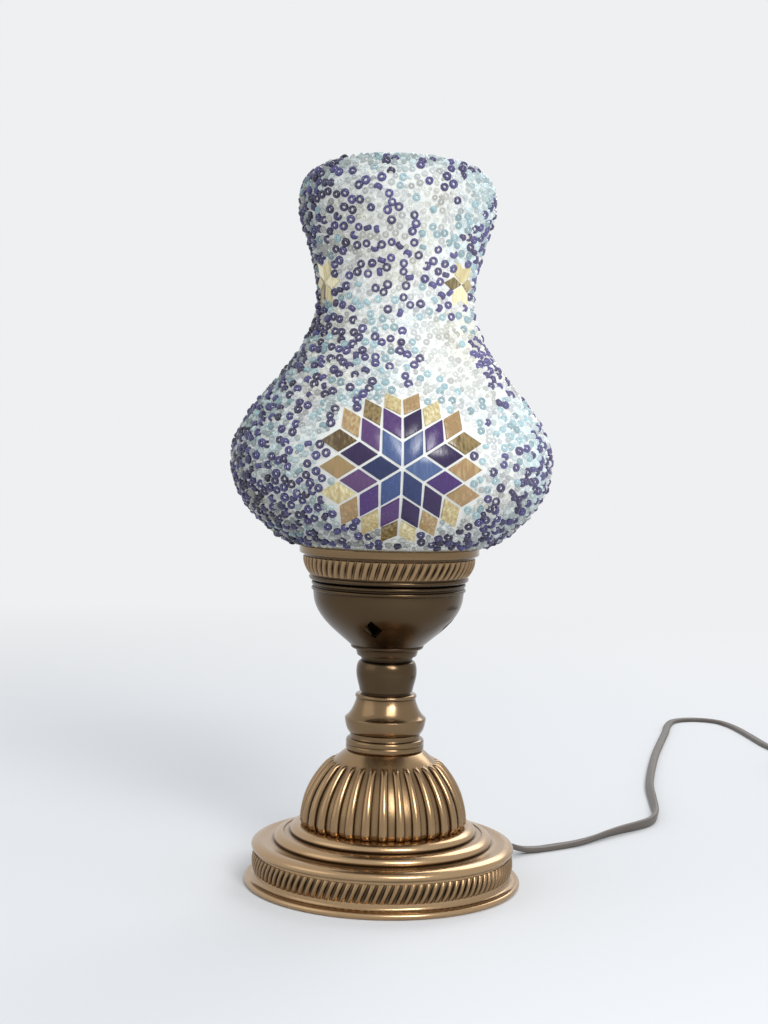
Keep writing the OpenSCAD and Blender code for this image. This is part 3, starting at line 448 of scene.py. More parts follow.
class Value:
    """A shader output that takes part in Python arithmetic."""

    def __init__(self, graph: Graph, socket: bpy.types.NodeSocket) -> None:
        """Keeps the graph and the output socket."""
        self.graph = graph
        self.socket = socket

    def _math(self, operation: str, first: Feed, second: Feed, clamp: bool = False) -> Value:
        """Adds a Math node for two values."""
        settings = {"operation": operation, "use_clamp": clamp}
        return self.graph.node("ShaderNodeMath", settings, {0: first, 1: second})

    def __add__(self, other: Feed) -> Value:
        """Adds."""
        return self._math("ADD", self, other)

    __radd__ = __add__

    def __sub__(self, other: Feed) -> Value:
        """Subtracts."""
        return self._math("SUBTRACT", self, other)

    def __rsub__(self, other: Feed) -> Value:
        """Subtracts this from a number."""
        return self._math("SUBTRACT", other, self)

    def __mul__(self, other: Feed) -> Value:
        """Multiplies."""
        return self._math("MULTIPLY", self, other)

    __rmul__ = __mul__

    def __truediv__(self, other: Feed) -> Value:
        """Divides."""
        return self._math("DIVIDE", self, other)

    def __pow__(self, other: Feed) -> Value:
        """Raises to a power."""
        return self._math("POWER", self, other)

    def clamped(self) -> Value:
        """Kept between 0 and 1."""
        return self._math("ADD", self, 0.0, clamp=True)


Feed = Value | float | tuple


class Graph:
    """The node tree of one material."""

    def __init__(self, tree: bpy.types.NodeTree) -> None:
        """Keeps the tree."""
        self.tree = tree

    def node(
        self,
        kind: str,
        settings: dict[str, object] | None = None,
        inputs: dict[int | str, Feed] | None = None,
        output: int | str = 0,
    ) -> Value:
        """Adds any node.

        Args:
            kind: the node's type.
            settings: its properties, set first; "stops" fills a ramp.
            inputs: values or links of its sockets.
            output: the socket that is wanted.

        Returns:
            The chosen output.
        """
        made = self.tree.nodes.new(kind)
        for key, value in (settings or {}).items():
            if key == "stops":
                self._fill_ramp(made.color_ramp, value)
            else:
                setattr(made, key, value)
        for key, value in (inputs or {}).items():
            self.feed(made.inputs[key], value)
        return Value(self, made.outputs[output])

    @staticmethod
    def _fill_ramp(ramp: bpy.types.ColorRamp, stops: Sequence[tuple[float, Colour]]) -> None:
        """Gives a ramp its stops."""
        while len(ramp.elements) < len(stops):
            ramp.elements.new(0.5)
        for element, (position, colour) in zip(ramp.elements, stops):
            element.position = position
            element.color = (*colour, 1)

    def feed(self, socket: bpy.types.NodeSocket, value: Feed) -> None:
        """Links or sets one input socket.

        Args:
            socket: the input.
            value: a Value, a number or a colour.
        """
        if isinstance(value, Value):
            self.tree.links.new(value.socket, socket)
        elif isinstance(value, tuple) and socket.type == "RGBA":
            socket.default_value = (*value, 1)
        else:
            socket.default_value = value

    def place(self) -> Value:
        """Object coordinates."""
        return self.node("ShaderNodeTexCoord", output="Object")

    def noise(self, scale: float, detail: float = 3, where: Value | None = None) -> Value:
        """A noise value between 0 and 1.

        Args:
            scale: waves per metre.
            detail: octaves.
            where: coordinates, the object's own if left out.

        Returns:
            The noise.
        """
        inputs = {"Vector": where or self.place(), "Scale": scale, "Detail": detail}
        return self.node("ShaderNodeTexNoise", None, inputs)

    def mix(self, share: Feed, first: Feed, second: Feed) -> Value:
        """Mixes two colours.

        Args:
            share: how much of the second.
            first, second: the colours.

        Returns:
            The mixed colour.
        """
        inputs = {0: share, 6: first, 7: second}
        return self.node("ShaderNodeMix", {"data_type": "RGBA"}, inputs, 2)

    def ramp(self, value: Feed, *stops: tuple[float, Colour]) -> Value:
        """A colour that a value picks from stops.

        Args:
            value: the value.
            stops: position and colour of each stop.

        Returns:
            The colour.
        """
        return self.node("ShaderNodeValToRGB", {"stops": stops}, {0: value})

    def tone(self) -> Value:
        """The number that each copied bead or tile carries."""
        return self.node("ShaderNodeAttribute", {"attribute_name": "tone"}, output="Fac")

    def relief(self, height: Value, strength: float, depth: float) -> Value:
        """A normal that follows a height.

        Args:
            height: the height between 0 and 1.
            strength: share of the effect.
            depth: real depth in metres.

        Returns:
            The normal.
        """
        inputs = {"Height": height, "Strength": strength, "Distance": depth}
        return self.node("ShaderNodeBump", None, inputs)

    def nearness(self, reach: float) -> Value:
        """How open the surface is: 1 outside, 0 in deep grooves.

        Args:
            reach: size of the grooves in metres.

        Returns:
            The openness.
        """
        settings = {"samples": 8, "only_local": True}
        return self.node("ShaderNodeAmbientOcclusion", settings, {"Distance": reach}, "AO")


@dataclass(frozen=True)
class Finish:
    """A finish that makes its material once."""

    name: str

    def material(self) -> bpy.types.Material:
        """The finish's material, made when it is first asked for.

        Returns:
            The material.
        """
        own_name = f"{self.name}_finish"
        found = bpy.data.materials.get(own_name)
        if found:
            return found
        made = bpy.data.materials.new(own_name)
        made.use_nodes = True
        shader = made.node_tree.nodes["Principled BSDF"]
        graph = Graph(made.node_tree)
        for key, value in self.dress(graph).items():
            graph.feed(shader.inputs[key], value)
        return made

    def dress(self, graph: Graph) -> dict[str, Feed]:
        """What feeds the shader's sockets."""
        raise NotImplementedError

    def put_on(self, piece: bpy.types.Object) -> None:
        """Makes this the only material of a piece.

        Args:
            piece: the mesh object.
        """
        if not piece.material_slots:
            piece.data.materials.append(None)
        for holder in piece.material_slots:
            holder.material = self.material()


@dataclass(frozen=True)
class AgedBrass(Finish):
    """Antiqued brass: bright where it is rubbed, nearly black in the grooves."""

    bright: Colour = (0.31, 0.202, 0.108)
    brown: Colour = (0.12, 0.076, 0.04)
    deep: Colour = (0.02, 0.014, 0.009)
    gloss: float = 0.15
    groove: float = 2.8

    def dress(self, graph: Graph) -> dict[str, Feed]:
        """What feeds the shader's sockets."""
        where = graph.place()
        patina = graph.noise(55, 5, where)
        specks = graph.noise(900, 3, where)
        openness = graph.nearness(self.groove * MM) ** 1.6
        share = (openness * 1.15 - 0.32 * patina + 0.1 * specks).clamped()
        colour = graph.ramp(share, (0.12, self.deep), (0.62, self.brown), (1.0, self.bright))
        return {
            "Base Color": colour,
            "Metallic": 1.0,
            "Roughness": self.gloss + 0.16 * patina + 0.2 * (1 - openness),
            "Normal": graph.relief(specks * 0.4 + patina, 0.22, 0.0003),
        }


@dataclass(frozen=True)
class PlainMetal(Finish):
    """Turned or plated metal with fine marks."""

    colour: Colour = (0.7, 0.7, 0.68)
    gloss: float = 0.25

    def dress(self, graph: Graph) -> dict[str, Feed]:
        """What feeds the shader's sockets."""
        stretched = graph.node(
            "ShaderNodeMapping", None, {"Vector": graph.place(), "Scale": (1, 1, 12)}
        )
        marks = graph.noise(400, 4, stretched)
        dull = tuple(0.72 * c for c in self.colour)
        return {
            "Base Color": graph.mix(marks, dull, self.colour),
            "Metallic": 1.0,
            "Roughness": self.gloss + 0.18 * marks,
            "Normal": graph.relief(marks, 0.15, 0.0001),
        }


@dataclass(frozen=True)
class Moulded(Finish):
    """Plastic, bakelite or porcelain: even colour, faint mottle and a fine grain."""

    colour: Colour = (0.03, 0.03, 0.03)
    gloss: float = 0.45
    grain: float = 0.12

    def dress(self, graph: Graph) -> dict[str, Feed]:
        """What feeds the shader's sockets."""
        mottle = graph.noise(120, 4)
        grain = graph.noise(2600, 2)
        pale = tuple(min(1, 1.35 * c + 0.01) for c in self.colour)
        return {
            "Base Color": graph.mix(mottle * 0.7, self.colour, pale),
            "Roughness": self.gloss + 0.16 * mottle,
            "Normal": graph.relief(grain, self.grain, 0.0001),
        }


@dataclass(frozen=True)
class Fibre(Finish):
    """Felt or fibre board."""

    colour: Colour = (0.02, 0.045, 0.025)
    scale: float = 1500

    def dress(self, graph: Graph) -> dict[str, Feed]:
        """What feeds the shader's sockets."""
        hairs = graph.noise(self.scale, 6)
        pale = tuple(2.2 * c for c in self.colour)
        return {
            "Base Color": graph.mix(hairs, self.colour, pale),
            "Roughness": 0.95,
            "Normal": graph.relief(hairs, 0.7, 0.0006),
        }


@dataclass(frozen=True)
class Lit(Finish):
    """Something on or round the shade that the bulb shines through.

    The glow is strongest beside the bulb, a little to the right of the front, and fades to both ends.
    """

    dark: Colour = (0.5, 0.6, 0.62)
    pale: Colour = (0.9, 0.95, 0.95)
    glow: Colour = (0.85, 0.95, 1.0)
    strength: float = 0.5
    gloss: float = 0.15
    own_tones: bool = True
    lumps: float = 0.0
    hot_spot: float = 52
    focus: float = 1.0
    tinted: bool = False

    def shine(self, graph: Graph) -> Value:
        """How much of the bulb's light reaches a place, from 0 to 1."""
        x, y, z = (
            graph.node("ShaderNodeSeparateXYZ", None, {0: graph.place()}, n) for n in range(3)
        )
        reach = (x * x + y * y) ** 0.5
        turn = math.radians(self.hot_spot)
        facing = (x * math.sin(turn) - y * math.cos(turn)) / reach
        level = graph.ramp(z / 0.37, (0.44, (0.35,) * 3), (0.6, (1.0,) * 3),
                           (0.8, (1.0,) * 3), (0.98, (0.8,) * 3))
        patches = graph.noise(38, 2)
        return (level * (0.6 + 0.4 * facing) * (0.74 + 0.5 * patches)).clamped() ** self.focus

    def tint(self, graph: Graph, colour: Value) -> Value:
        """A colour that drifts a little towards teal and towards straw over the shade."""
        drift = graph.ramp(
            graph.noise(21, 1), (0.36, (0.82, 0.95, 0.97)), (0.5, (1, 1, 1)), (0.66, (1, 0.97, 0.86))
        )
        settings = {"data_type": "RGBA", "blend_type": "MULTIPLY"}
        return graph.node("ShaderNodeMix", settings, {0: 1.0, 6: colour, 7: drift}, 2)

    def dress(self, graph: Graph) -> dict[str, Feed]:
        """What feeds the shader's sockets."""
        share = graph.tone() if self.own_tones else graph.noise(260, 4)
        colour = graph.mix(share, self.dark, self.pale)
        light = graph.mix(self.shine(graph), (0, 0, 0), self.glow)
        if self.tinted:
            colour, light = self.tint(graph, colour), self.tint(graph, light)
        sockets: dict[str, Feed] = {
            "Base Color": colour,
            "Roughness": self.gloss,
            "Emission Color": light,
            "Emission Strength": self.strength,
        }
        if self.lumps:
            sockets["Normal"] = graph.relief(graph.noise(900, 3), 0.8, self.lumps * MM)
        return sockets


@dataclass(frozen=True)
class TileGlass(Lit):
    """Glossy stained glass with fine upright streaks and a colour of its own for each tile."""

    tones: tuple[Colour, ...] = ()
    streaky: float = 0.35

    def dress(self, graph: Graph) -> dict[str, Feed]:
        """What feeds the shader's sockets."""
        stretched = graph.node(
            "ShaderNodeMapping", None, {"Vector": graph.place(), "Scale": (1, 1, 0.14)}
        )
        streaks = graph.noise(850, 3, stretched)
        pick_of = (graph.tone() * 0.9 + self.streaky * (streaks - 0.45)).clamped()
        last = len(self.tones) - 1
        colour = graph.ramp(pick_of, *((0.05 + 0.9 * k / last, c) for k, c in enumerate(self.tones)))
        return {
            "Base Color": colour,
            "Roughness": self.gloss + 0.12 * streaks,
            "Normal": graph.relief(streaks, 0.3, 0.0003),
            # Painted glow: the bulb's light through the tile, given as emission.
            "Emission Color": graph.mix(self.shine(graph), (0, 0, 0), colour),
            "Emission Strength": self.strength,
        }


# Painted light: a lighter copy of the brass for the foot, whose upward treads catch the light.
LIT_FOOT_BRASS = AgedBrass("old_brass", bright=(0.43, 0.288, 0.16), brown=(0.17, 0.112, 0.062),
                      deep=(0.06, 0.04, 0.023), groove=1.8)
BRASS = AgedBrass("brass")
# Painted shade: a darker copy of the brass for the bowl and the upper knop, for the shadow that the shade
# casts on them.
SHADOWED_BRASS = AgedBrass("shadowed_brass", bright=(0.085, 0.056, 0.031), brown=(0.043, 0.028, 0.016), groove=4)
# Painted shade: a darker, glossier copy of the brass for the collar, the large knop and the gallery rim; its
# darker tone is painted shade.
SHADED_KNOP_BRASS = AgedBrass("shaded_knop_brass", bright=(0.21, 0.138, 0.075), brown=(0.09, 0.058, 0.032), gloss=0.11)
PLAIN_BRASS = PlainMetal("plain_brass", colour=(0.62, 0.45, 0.2))
IRON = PlainMetal("iron", colour=(0.09, 0.09, 0.09), gloss=0.5)
ZINC = PlainMetal("zinc_steel", colour=(0.6, 0.61, 0.6))
NICKEL = PlainMetal("pin_nickel", colour=(0.78, 0.77, 0.72), gloss=0.15)
CAP_METAL = PlainMetal("cap_metal", colour=(0.72, 0.72, 0.7), gloss=0.2)
TUNGSTEN = PlainMetal("tungsten", colour=(0.2, 0.19, 0.18))
CARD = Fibre("card", colour=(0.1, 0.07, 0.045), scale=900)
FELT = Fibre("felt")
BLACK_PLASTIC = Moulded("black_plastic", colour=(0.022, 0.021, 0.02))
CORD_SKIN = Moulded("cord", colour=(0.09, 0.075, 0.062), gloss=0.38, grain=0.2)
CORES = Moulded("cores", colour=(0.03, 0.07, 0.3))
BAKELITE = Moulded("bakelite", colour=(0.03, 0.02, 0.015), gloss=0.18)
PORCELAIN = Moulded("porcelain", colour=(0.78, 0.76, 0.7), gloss=0.2)
VITRITE = Moulded("vitrite", colour=(0.01, 0.01, 0.012), gloss=0.1)
CREAM = Moulded("cream_rim", colour=(0.72, 0.66, 0.5), gloss=0.3)
GROUT = Lit("grout", dark=(0.27, 0.29, 0.28), pale=(0.38, 0.4, 0.38), glow=(1.0, 1.0, 0.97),
            strength=0.62, gloss=0.6, own_tones=False, lumps=0.5)
NAVY_BEADS = Lit("navy_beads", dark=(0.009, 0.008, 0.022), pale=(0.045, 0.043, 0.15),
                 glow=(0.44, 0.4, 0.74), strength=0.23, gloss=0.06, focus=2.6)
AQUA_BEADS = Lit("aqua_beads", dark=(0.055, 0.115, 0.13), pale=(0.22, 0.35, 0.38),
                 glow=(0.72, 0.88, 0.94), strength=0.36, gloss=0.06, focus=1.6)
CLEAR_BEADS = Lit("clear_beads", dark=(0.05, 0.062, 0.056), pale=(0.43, 0.46, 0.45),
                  glow=(0.94, 0.97, 1.0), strength=0.58, gloss=0.05, focus=1.7, tinted=True)
BLUE_TILES = TileGlass("blue_tiles", strength=0.4, gloss=0.2, tones=(
    (0.009, 0.016, 0.06), (0.016, 0.03, 0.1), (0.034, 0.06, 0.16), (0.08, 0.125, 0.23)))
PURPLE_TILES = TileGlass("purple_tiles", strength=0.4, gloss=0.2, tones=(
    (0.014, 0.006, 0.038), (0.022, 0.01, 0.056), (0.046, 0.018, 0.11), (0.085, 0.04, 0.1)))
GOLD_TILES = TileGlass("gold_tiles", strength=0.6, gloss=0.1, streaky=0.7, tones=(
    (0.06, 0.037, 0.014), (0.19, 0.14, 0.058), (0.25, 0.155, 0.075), (0.38, 0.32, 0.16), (0.58, 0.54, 0.36)))
FLOWER_TILES = TileGlass("flower_tiles", strength=0.9, gloss=0.1, streaky=0.9, tones=(
    (0.1, 0.075, 0.032), (0.3, 0.25, 0.12), (0.42, 0.37, 0.21), (0.55, 0.51, 0.34)))
SHADE_GLASS = Lit("shade_glass", glow=(1.0, 0.96, 0.88), strength=0.5, own_tones=False)
BULB_GLASS = Lit("bulb_glass", dark=(0.4, 0.38, 0.33), pale=(0.48, 0.46, 0.4), glow=(1.0, 0.88, 0.66),
                 strength=0.55, own_tones=False)
CLEAR_GLASS = Moulded("clear_glass", colour=(0.8, 0.83, 0.83), gloss=0.05)


@dataclass
class SubAssembly:
    """A group of pieces that belong together."""

    frame: dict

    def add(
        self, piece: bpy.types.Object, finish: Finish, body: Body, slot: str, *stands_for: str
    ) -> bpy.types.Object:
        """Dresses a piece and lets it ride on its body.

        Args:
            piece: the new piece.
            finish: its finish.
            body: what it moves with.
            slot: the record's material slot; not used.
            stands_for: the solids that it replaces.

        Returns:
            The same piece.
        """
        finish.put_on(piece)
        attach(piece, body.value)
        if stands_for:
            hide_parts(*stands_for)
        LOG.info("%s: %d faces on %s", piece.name, len(piece.data.polygons), body.value)
        return piece

    def dress_nodes(self, finish: Finish, *names: str) -> None:
        """Gives solids of the frame a finish.

        Args:
            finish: the finish.
            names: the nodes.
        """
        for name in names:
            finish.put_on(self.frame["nodes"][name])


@dataclass
class Studio:
    """Camera, lamps, world and floor."""

    focal: float = 57.3
    eye: tuple[float, float, float] = (-3.2, -815, 226)
    tip_down: float = 2.77
    roll: float = 1.39
    backdrop: Colour = (0.86, 0.87, 0.88)
    fade_from: float = 0.45
    fade_to: float = 1.3

    def aim(self) -> None:
        """Adds the camera where the photograph was taken from."""
        data = bpy.data.cameras.new("camera")
        data.lens = self.focal
        data.clip_start = 0.01
        camera = bpy.data.objects.new("camera", data)
        bpy.context.scene.collection.objects.link(camera)
        tilt = Matrix.Rotation(math.radians(90 - self.tip_down), 4, "X")
        camera.matrix_world = (
            Matrix.Translation(Vector(self.eye) * MM)
            @ tilt
            @ Matrix.Rotation(math.radians(self.roll), 4, "Z")
        )
        bpy.context.scene.camera = camera

    def light(self) -> None:
        """Adds soft lamps and an even sky."""
        self._lamp("key", (0.5, -1.3, 1.2), 0.75, 12)
        self._lamp("window", (0.65, -1.25, 0.85), 0.4, 6)
        self._lamp("fill", (-1.3, -0.5, 0.8), 1.1, 2.5)
        self._lamp("back", (0.6, 1.2, 1.1), 0.9, 8)
        world = bpy.data.worlds.new("studio")
        bpy.context.scene.world = world
        world.use_nodes = True
        graph = Graph(world.node_tree)
        sky = world.node_tree.nodes["Background"]
        seen = self._seen(graph)
        graph.feed(sky.inputs["Color"], graph.mix(seen, (0.6, 0.62, 0.65), self.backdrop))
        sky.inputs["Strength"].default_value = 1.0

    @staticmethod
    def _seen(graph: Graph) -> Value:
        """1 for rays that show the background: straight, mirrored or through glass."""
        rays = [
            graph.node("ShaderNodeLightPath", output=kind)
            for kind in ("Is Camera Ray", "Is Glossy Ray", "Is Transmission Ray")
        ]
        return (rays[0] + rays[1] + rays[2]).clamped()

    @staticmethod
    def _lamp(name: str, spot: tuple[float, float, float], size: float, power: float) -> None:
        """Adds an area lamp that looks at the middle of the lamp.

        Args:
            name: the lamp's name.
            spot: its place in metres.
            size: its side in metres.
            power: in watts.
        """
        data = bpy.data.lights.new(name, "AREA")
        data.size, data.energy = size, power
        lamp = bpy.data.objects.new(name, data)
        bpy.context.scene.collection.objects.link(lamp)
        lamp.location = spot
        lamp.rotation_euler = (Vector((0, 0, 0.18)) - lamp.location).to_track_quat("-Z", "Y").to_euler()

    def lay_floor(self) -> None:
        """Adds the pale floor, which fades into the background far from the lamp."""
        clear_selection()
        bpy.ops.mesh.primitive_circle_add(vertices=96, radius=3.2, fill_type="NGON")
        floor = named("floor")
        made = bpy.data.materials.new("floor")
        made.use_nodes = True
        floor.data.materials.append(made)
        graph = Graph(made.node_tree)
        tree = made.node_tree
        matte = tree.nodes["Principled BSDF"]
        matte.inputs["Base Color"].default_value = (0.74, 0.75, 0.76, 1)
        matte.inputs["Roughness"].default_value = 0.85
        x, y = (graph.node("ShaderNodeSeparateXYZ", None, {0: graph.place()}, n) for n in range(2))
        far = ((x * x + y * y) ** 0.5 - self.fade_from) / (self.fade_to - self.fade_from)
        plain = graph.node(
            "ShaderNodeEmission", None, {"Color": self.backdrop, "Strength": 1.0}
        )
        share = far.clamped() * self._seen(graph)
        blend = graph.node("ShaderNodeMixShader", None, {0: share, 2: plain})
        tree.links.new(matte.outputs[0], blend.socket.node.inputs[1])
        tree.links.new(blend.socket, tree.nodes["Material Output"].inputs["Surface"])


@dataclass
class Base(SubAssembly):
    """Foot, ribbed dome, turned knops and gallery, all of antiqued brass."""

    foot_r: float = 69.5
    wall_r: float = 64.2
    flange: float = 3.0
    wall_low: float = 5.0
    wall_high: float = 17.6
    lip_high: float = 21.4
    terrace: float = 4.1
    terraces: tuple[float, float] = (54.5, 46.5)
    sheet: float = 1.2
    dome_r: float = 42.0
    dome_top_r: float = 19.4
    dome_low: float = 29.6
    dome_high: float = 67.0
    ribs: int = 30
    rib: float = 2.2
    bore: float = 5.1
    ridge: float = 1.5
    bowl_low: float = 114.6
    step: float = 152.8
    cone_r: float = 39.4
    cone_out: float = 3.6
    cone_high: float = 165.8
    rim_high: float = 170.2

    def build(self) -> None:
        """Builds and dresses all pieces of the base."""
        self.foot()
        self.dome()
        self.knops()
        self.gallery()
        self.inner_pieces()

    def foot(self) -> None:
        """The pressed foot with its flange, lip, terraces and slanted rope band."""
        r, z, step = self.wall_r, self.lip_high, self.terrace
        outer, inner = self.terraces
        edge = self.flange / 2
        outline = [(r - 1.2, 0.5)]
        outline += arc((self.foot_r - edge, edge + 0.1), edge, -90, 84, 12)
        outline += [(r + 3.0, self.flange - 0.1)]
        outline += bezier((r + 2.6, self.flange - 0.1), (r + 0.8, self.flange), (r, self.flange + 0.8),
                          (r, self.wall_low), 6)
        outline += [(r, self.wall_low), (r, self.wall_high)]
        outline += self.roll(r + 1.8, z, z - self.wall_high)
        outline += [(outer + 4.2, z - 0.5), (outer + 1.6, z - 0.35)]
        outline += self.roll(outer + 0.4, z + step, step)
        outline += [(inner + 3.4, z + step - 0.4), (inner + 1.6, z + step - 0.3)]
        outline += self.roll(inner + 0.4, self.dome_low, step)
        outline += [(self.dome_r - 6, self.dome_low), (self.dome_r - 6, self.dome_low - self.sheet)]
        outline += [(inner - 2.6, self.dome_low - self.sheet), (inner - 2.6, z + step - self.sheet)]
        outline += [(outer - 2.6, z + step - self.sheet), (outer - 2.6, z - self.sheet)]
        outline += [(r - self.sheet, z - self.sheet)]
        self.add(turned("foot", outline, 192), LIT_FOOT_BRASS, Body.BASE, "old_brass", "foot_shell")
        low = self.wall_low + 1.36
        rope = self.rope("foot_rope", 106, low, 9.2, (r, r), 3.4)
        self.add(rope, BRASS, Body.BASE, "brass", "foot_rope_band")

    @staticmethod
    def roll(radius: float, top: float, height: float) -> list[Point]:
        """The rounded edge of a step: flat above, steeper outwards, tucked in at its foot.

        Args:
            radius: its greatest radius.
            top: level of the step's top.
            height: how high the step is.

        Returns:
            The points from its foot to its top.
        """
        width, drop = 4.8, 0.74 * height
        turns = [math.radians(-21 + 111 * k / 14) for k in range(15)]
        return [(radius - width + width * math.cos(t), top - drop + drop * math.sin(t)) for t in turns]

    def rope(
        self, name: str, count: int, low: float, height: float, radii: Point, slant: float
    ) -> bpy.types.Object:
        """A band of slanted round ridges.

        Args:
            name: the piece's name.
            count: number of ridges.
            low, height: where the band starts and how high it is.
            radii: of the wall behind it, at its bottom and top.
            slant: turn from bottom to top, in degrees.

        Returns:
            The new piece.
        """
        front = 9
        shares = [i / front for i in range(front + 1)] + [1, 0, 0]

        def place(across: float, row: int) -> tuple[float, float, float]:
            """Angle, radius and height of a point of one ridge."""
            share = shares[row]
            back = front < row < len(shares) - 1
            swell = math.sin(math.pi * (0.1 + 0.8 * share)) ** 0.8
            round_off = 0.03 + 0.97 * max(0.0, 1.45 * math.sin(math.pi * across) - 0.45) ** 0.6
            wall = radii[0] + (radii[1] - radii[0]) * share
            radius = wall + (0.1 if back else 0.1 + self.ridge * swell * round_off)
            angle = TURN * across / count + math.radians(slant) * share
            return angle, radius, low + height * share

        return repeated(name, count, 10, len(shares) - 1, place)

    def dome(self) -> None:
        """The dome: a smooth cap, under it separate convex ribs with round ends."""
        low, high, r = self.dome_low, self.dome_high, self.dome_r - self.rib
        skin = [(r - 1.4, low), (r - 0.9, low + 0.3), (r - 0.6, low + 0.8), (r - 0.35, low + 1.4)]
        skin += bezier((r, low + 2), (r, low + 2 + 0.4 * (high - low)),
                       (self.dome_top_r + 10.6, high - 0.22 * (high - low)),
                       (self.dome_top_r, high), 40)
        skin += [(self.dome_top_r, high)]
        outward = [(q[0] - p[0], q[1] - p[1]) for p, q in zip(skin, beside(skin, 1))]
        inner = [(self.bore, high), (self.bore, high - 1.4)]
        inner += [(max(x - 2, self.bore + 1), min(z, high - 1.4)) for x, z in skin[:2:-4]]
        rows = skin + inner + skin[:1]
        top, foot = low + 0.855 * (high - low), low
        half = [0.0, 0.12, 0.205, 0.215, 0.24, 0.29, 0.38]
        columns = half + [0.5] + [1 - c for c in reversed(half)]

        def size(row: int) -> float:
            """How far the ribs stand out at a row: round at both ends."""
            x, z = rows[row]
            upper = 1 - (1 - min(1, max(0, (top - z) / 3.4))) ** 2
            lower = 1 - (1 - min(1, max(0, (z - foot) / 2.6))) ** 2
            return self.rib * (0.45 + 0.55 * x / r) * math.sqrt(upper * lower)

        def place(across: float, row: int) -> tuple[float, float, float]:
            """Angle, radius and height of a point of one rib."""
            x, z = rows[row]
            turn = columns[round(across * (len(columns) - 1))]
            if row >= len(skin):
                return TURN * turn / self.ribs, x, z
            lift = max(0.0, 1 - ((turn - 0.5) / 0.29) ** 2) ** 0.5 * size(row)
            dx, dz = outward[row]
            return TURN * turn / self.ribs, x + dx * lift, z + dz * lift

        piece = repeated("ribbed_dome", self.ribs, len(columns) - 1, len(rows) - 1, place)
        self.add(piece, BRASS, Body.BASE, "brass", "fluted_dome")

    def knops(self) -> None:
        """Collar, large knop with its sharp ridge, and upper knop."""
        z = self.dome_high
        collar = [(self.bore, z)] + arc((18.2, z + 1.4), 1.4, -90, 0, 8)
        collar += [(19.6, z + 2.6), (19.3, z + 3.1), (19.6, z + 3.6)]
        collar += arc((18.2, z + 4.8), 1.4, 0, 90, 8)
        collar += [(18.0, z + 6.3), (17.6, z + 7.4), (17.7, z + 8.6), (self.bore, z + 8.6)]
        self.add(turned("collar", collar), SHADED_KNOP_BRASS, Body.BASE, "old_brass", "dome_collar")
        z += 8.6
        knop = [(self.bore, z), (17.6, z)]
        knop += bezier((18.0, z + 0.2), (19.4, z + 1.4), (20.1, z + 4.4), (20.4, z + 7.1), 12)
        knop += [(20.4, z + 7.2), (20.4, z + 7.6)]
        knop += bezier((20.3, z + 7.8), (17.6, z + 9.8), (16.3, z + 12.8), (14.9, z + 17.0), 14)
        knop += arc((14.3, z + 18.8), 1.15, -62, 90, 12)
        knop += [(self.bore, z + 20)]
        self.add(turned("large_knop", knop), SHADED_KNOP_BRASS, Body.BASE, "brass", "baluster_knop")
        z += 20
        upper = [(self.bore, z), (12.4, z), (12.4, z + 0.9), (12.8, z + 1.1)]
        upper += bezier((13.3, z + 1.2), (13.8, z + 4.4), (15.2, z + 7.4), (15.2, z + 11.0), 14)
        upper += bezier((15.2, z + 11.0), (15.2, z + 14.4), (14.3, z + 16.3), (13.0, z + 16.6), 12)
        upper += [(12.7, z + 16.8), (12.8, z + 17.4), (13.4, z + 18.4), (13.6, z + 19), (self.bore, z + 19)]
        # Painted shade: the upper knop takes the darker, shadowed copy of the brass.
        self.add(turned("upper_knop_turned", upper), SHADOWED_BRASS, Body.BASE, "brass", "upper_knop")

    def gallery(self) -> None:
        """The pierced bowl with its rings, the rope band and the plain rim."""
        z, top, step = self.bowl_low, self.step, self.step - self.bowl_low
        line = [(self.bore, z), (14.6, z), (15.0, z + 0.4), (15.7, z + 3.0)]
        line += arc((17.0, z + 0.13 * step), 1.3, -130, 40, 8)
        line += bezier((18.7, z + 0.15 * step), (25, z + 0.3 * step), (37, z + 0.5 * step),
                       (37.6, z + 0.8 * step), 20)
        line += [(37.6, z + 0.8 * step)]
        for share in (0.88, 0.95):
            line += arc((37.7, z + share * step), 1.0, -85, 85, 8)
        line += [(39.0, top - 0.3)] + arc((38.8, top + 1), 1.2, -60, 60, 8)
        line += [(39.4, top + 2.6), (43.0, self.cone_high), (41.8, self.cone_high)]
        line += [(38.2, top + 4), (38.2, top + 1.2), (36.4, top + 1.2), (36.4, z + 0.8 * step)]
        line += [(x - 1.2, h) for x, h in bezier(
            (37.6, z + 0.8 * step), (37, z + 0.5 * step), (25, z + 0.3 * step),
            (18.7, z + 0.15 * step + 0.8), 14)]
        line += [(14.2, z + 3.2), (13.8, z + 1.2), (self.bore, z + 1.2)]
        bowl = turned("bowl", line, 192)
        for k in range(4):
            blade = prism("blade", [(4.8, 0), (0, 4.8), (-4.8, 0), (0, -4.8)], 20, 42)
            turn = Matrix.Rotation(math.radians(-14 + 90 * k), 4, "Z")
            tip = Matrix.Rotation(math.radians(90), 4, "X")
            cut(bowl, moved(blade, turn @ Matrix.Translation((0, 0, (z + 16) * MM)) @ tip))
        soften(bowl)
        # Painted shade: the bowl under the shade takes the darker, shadowed copy of the brass.
        self.add(bowl, SHADOWED_BRASS, Body.BASE, "brass", "gallery_bowl")
        radii = [self.cone_r + self.cone_out * (h - 2.6) / 10.4 for h in (2.8, 11.4)]
        rope = self.rope("gallery_rope", 65, top + 2.8, 8.6, (radii[0], radii[1]), 4.0)
        self.add(rope, BRASS, Body.BASE, "brass", "gallery_rope_band")
        low, high = self.cone_high, self.rim_high
        rim = [(41.8, low), (44.2, low)] + arc((44.2, low + 0.8), 0.8, -90, 0, 5)
        rim += arc((44.1, high - 0.9), 0.9, 0, 90, 6) + arc((42.9, high - 0.6), 0.6, 90, 180, 5)
        rim += [(41.9, high - 1.2)]
        self.add(turned("rim", rim, 192), SHADED_KNOP_BRASS, Body.BASE, "old_brass", "gallery_rim")

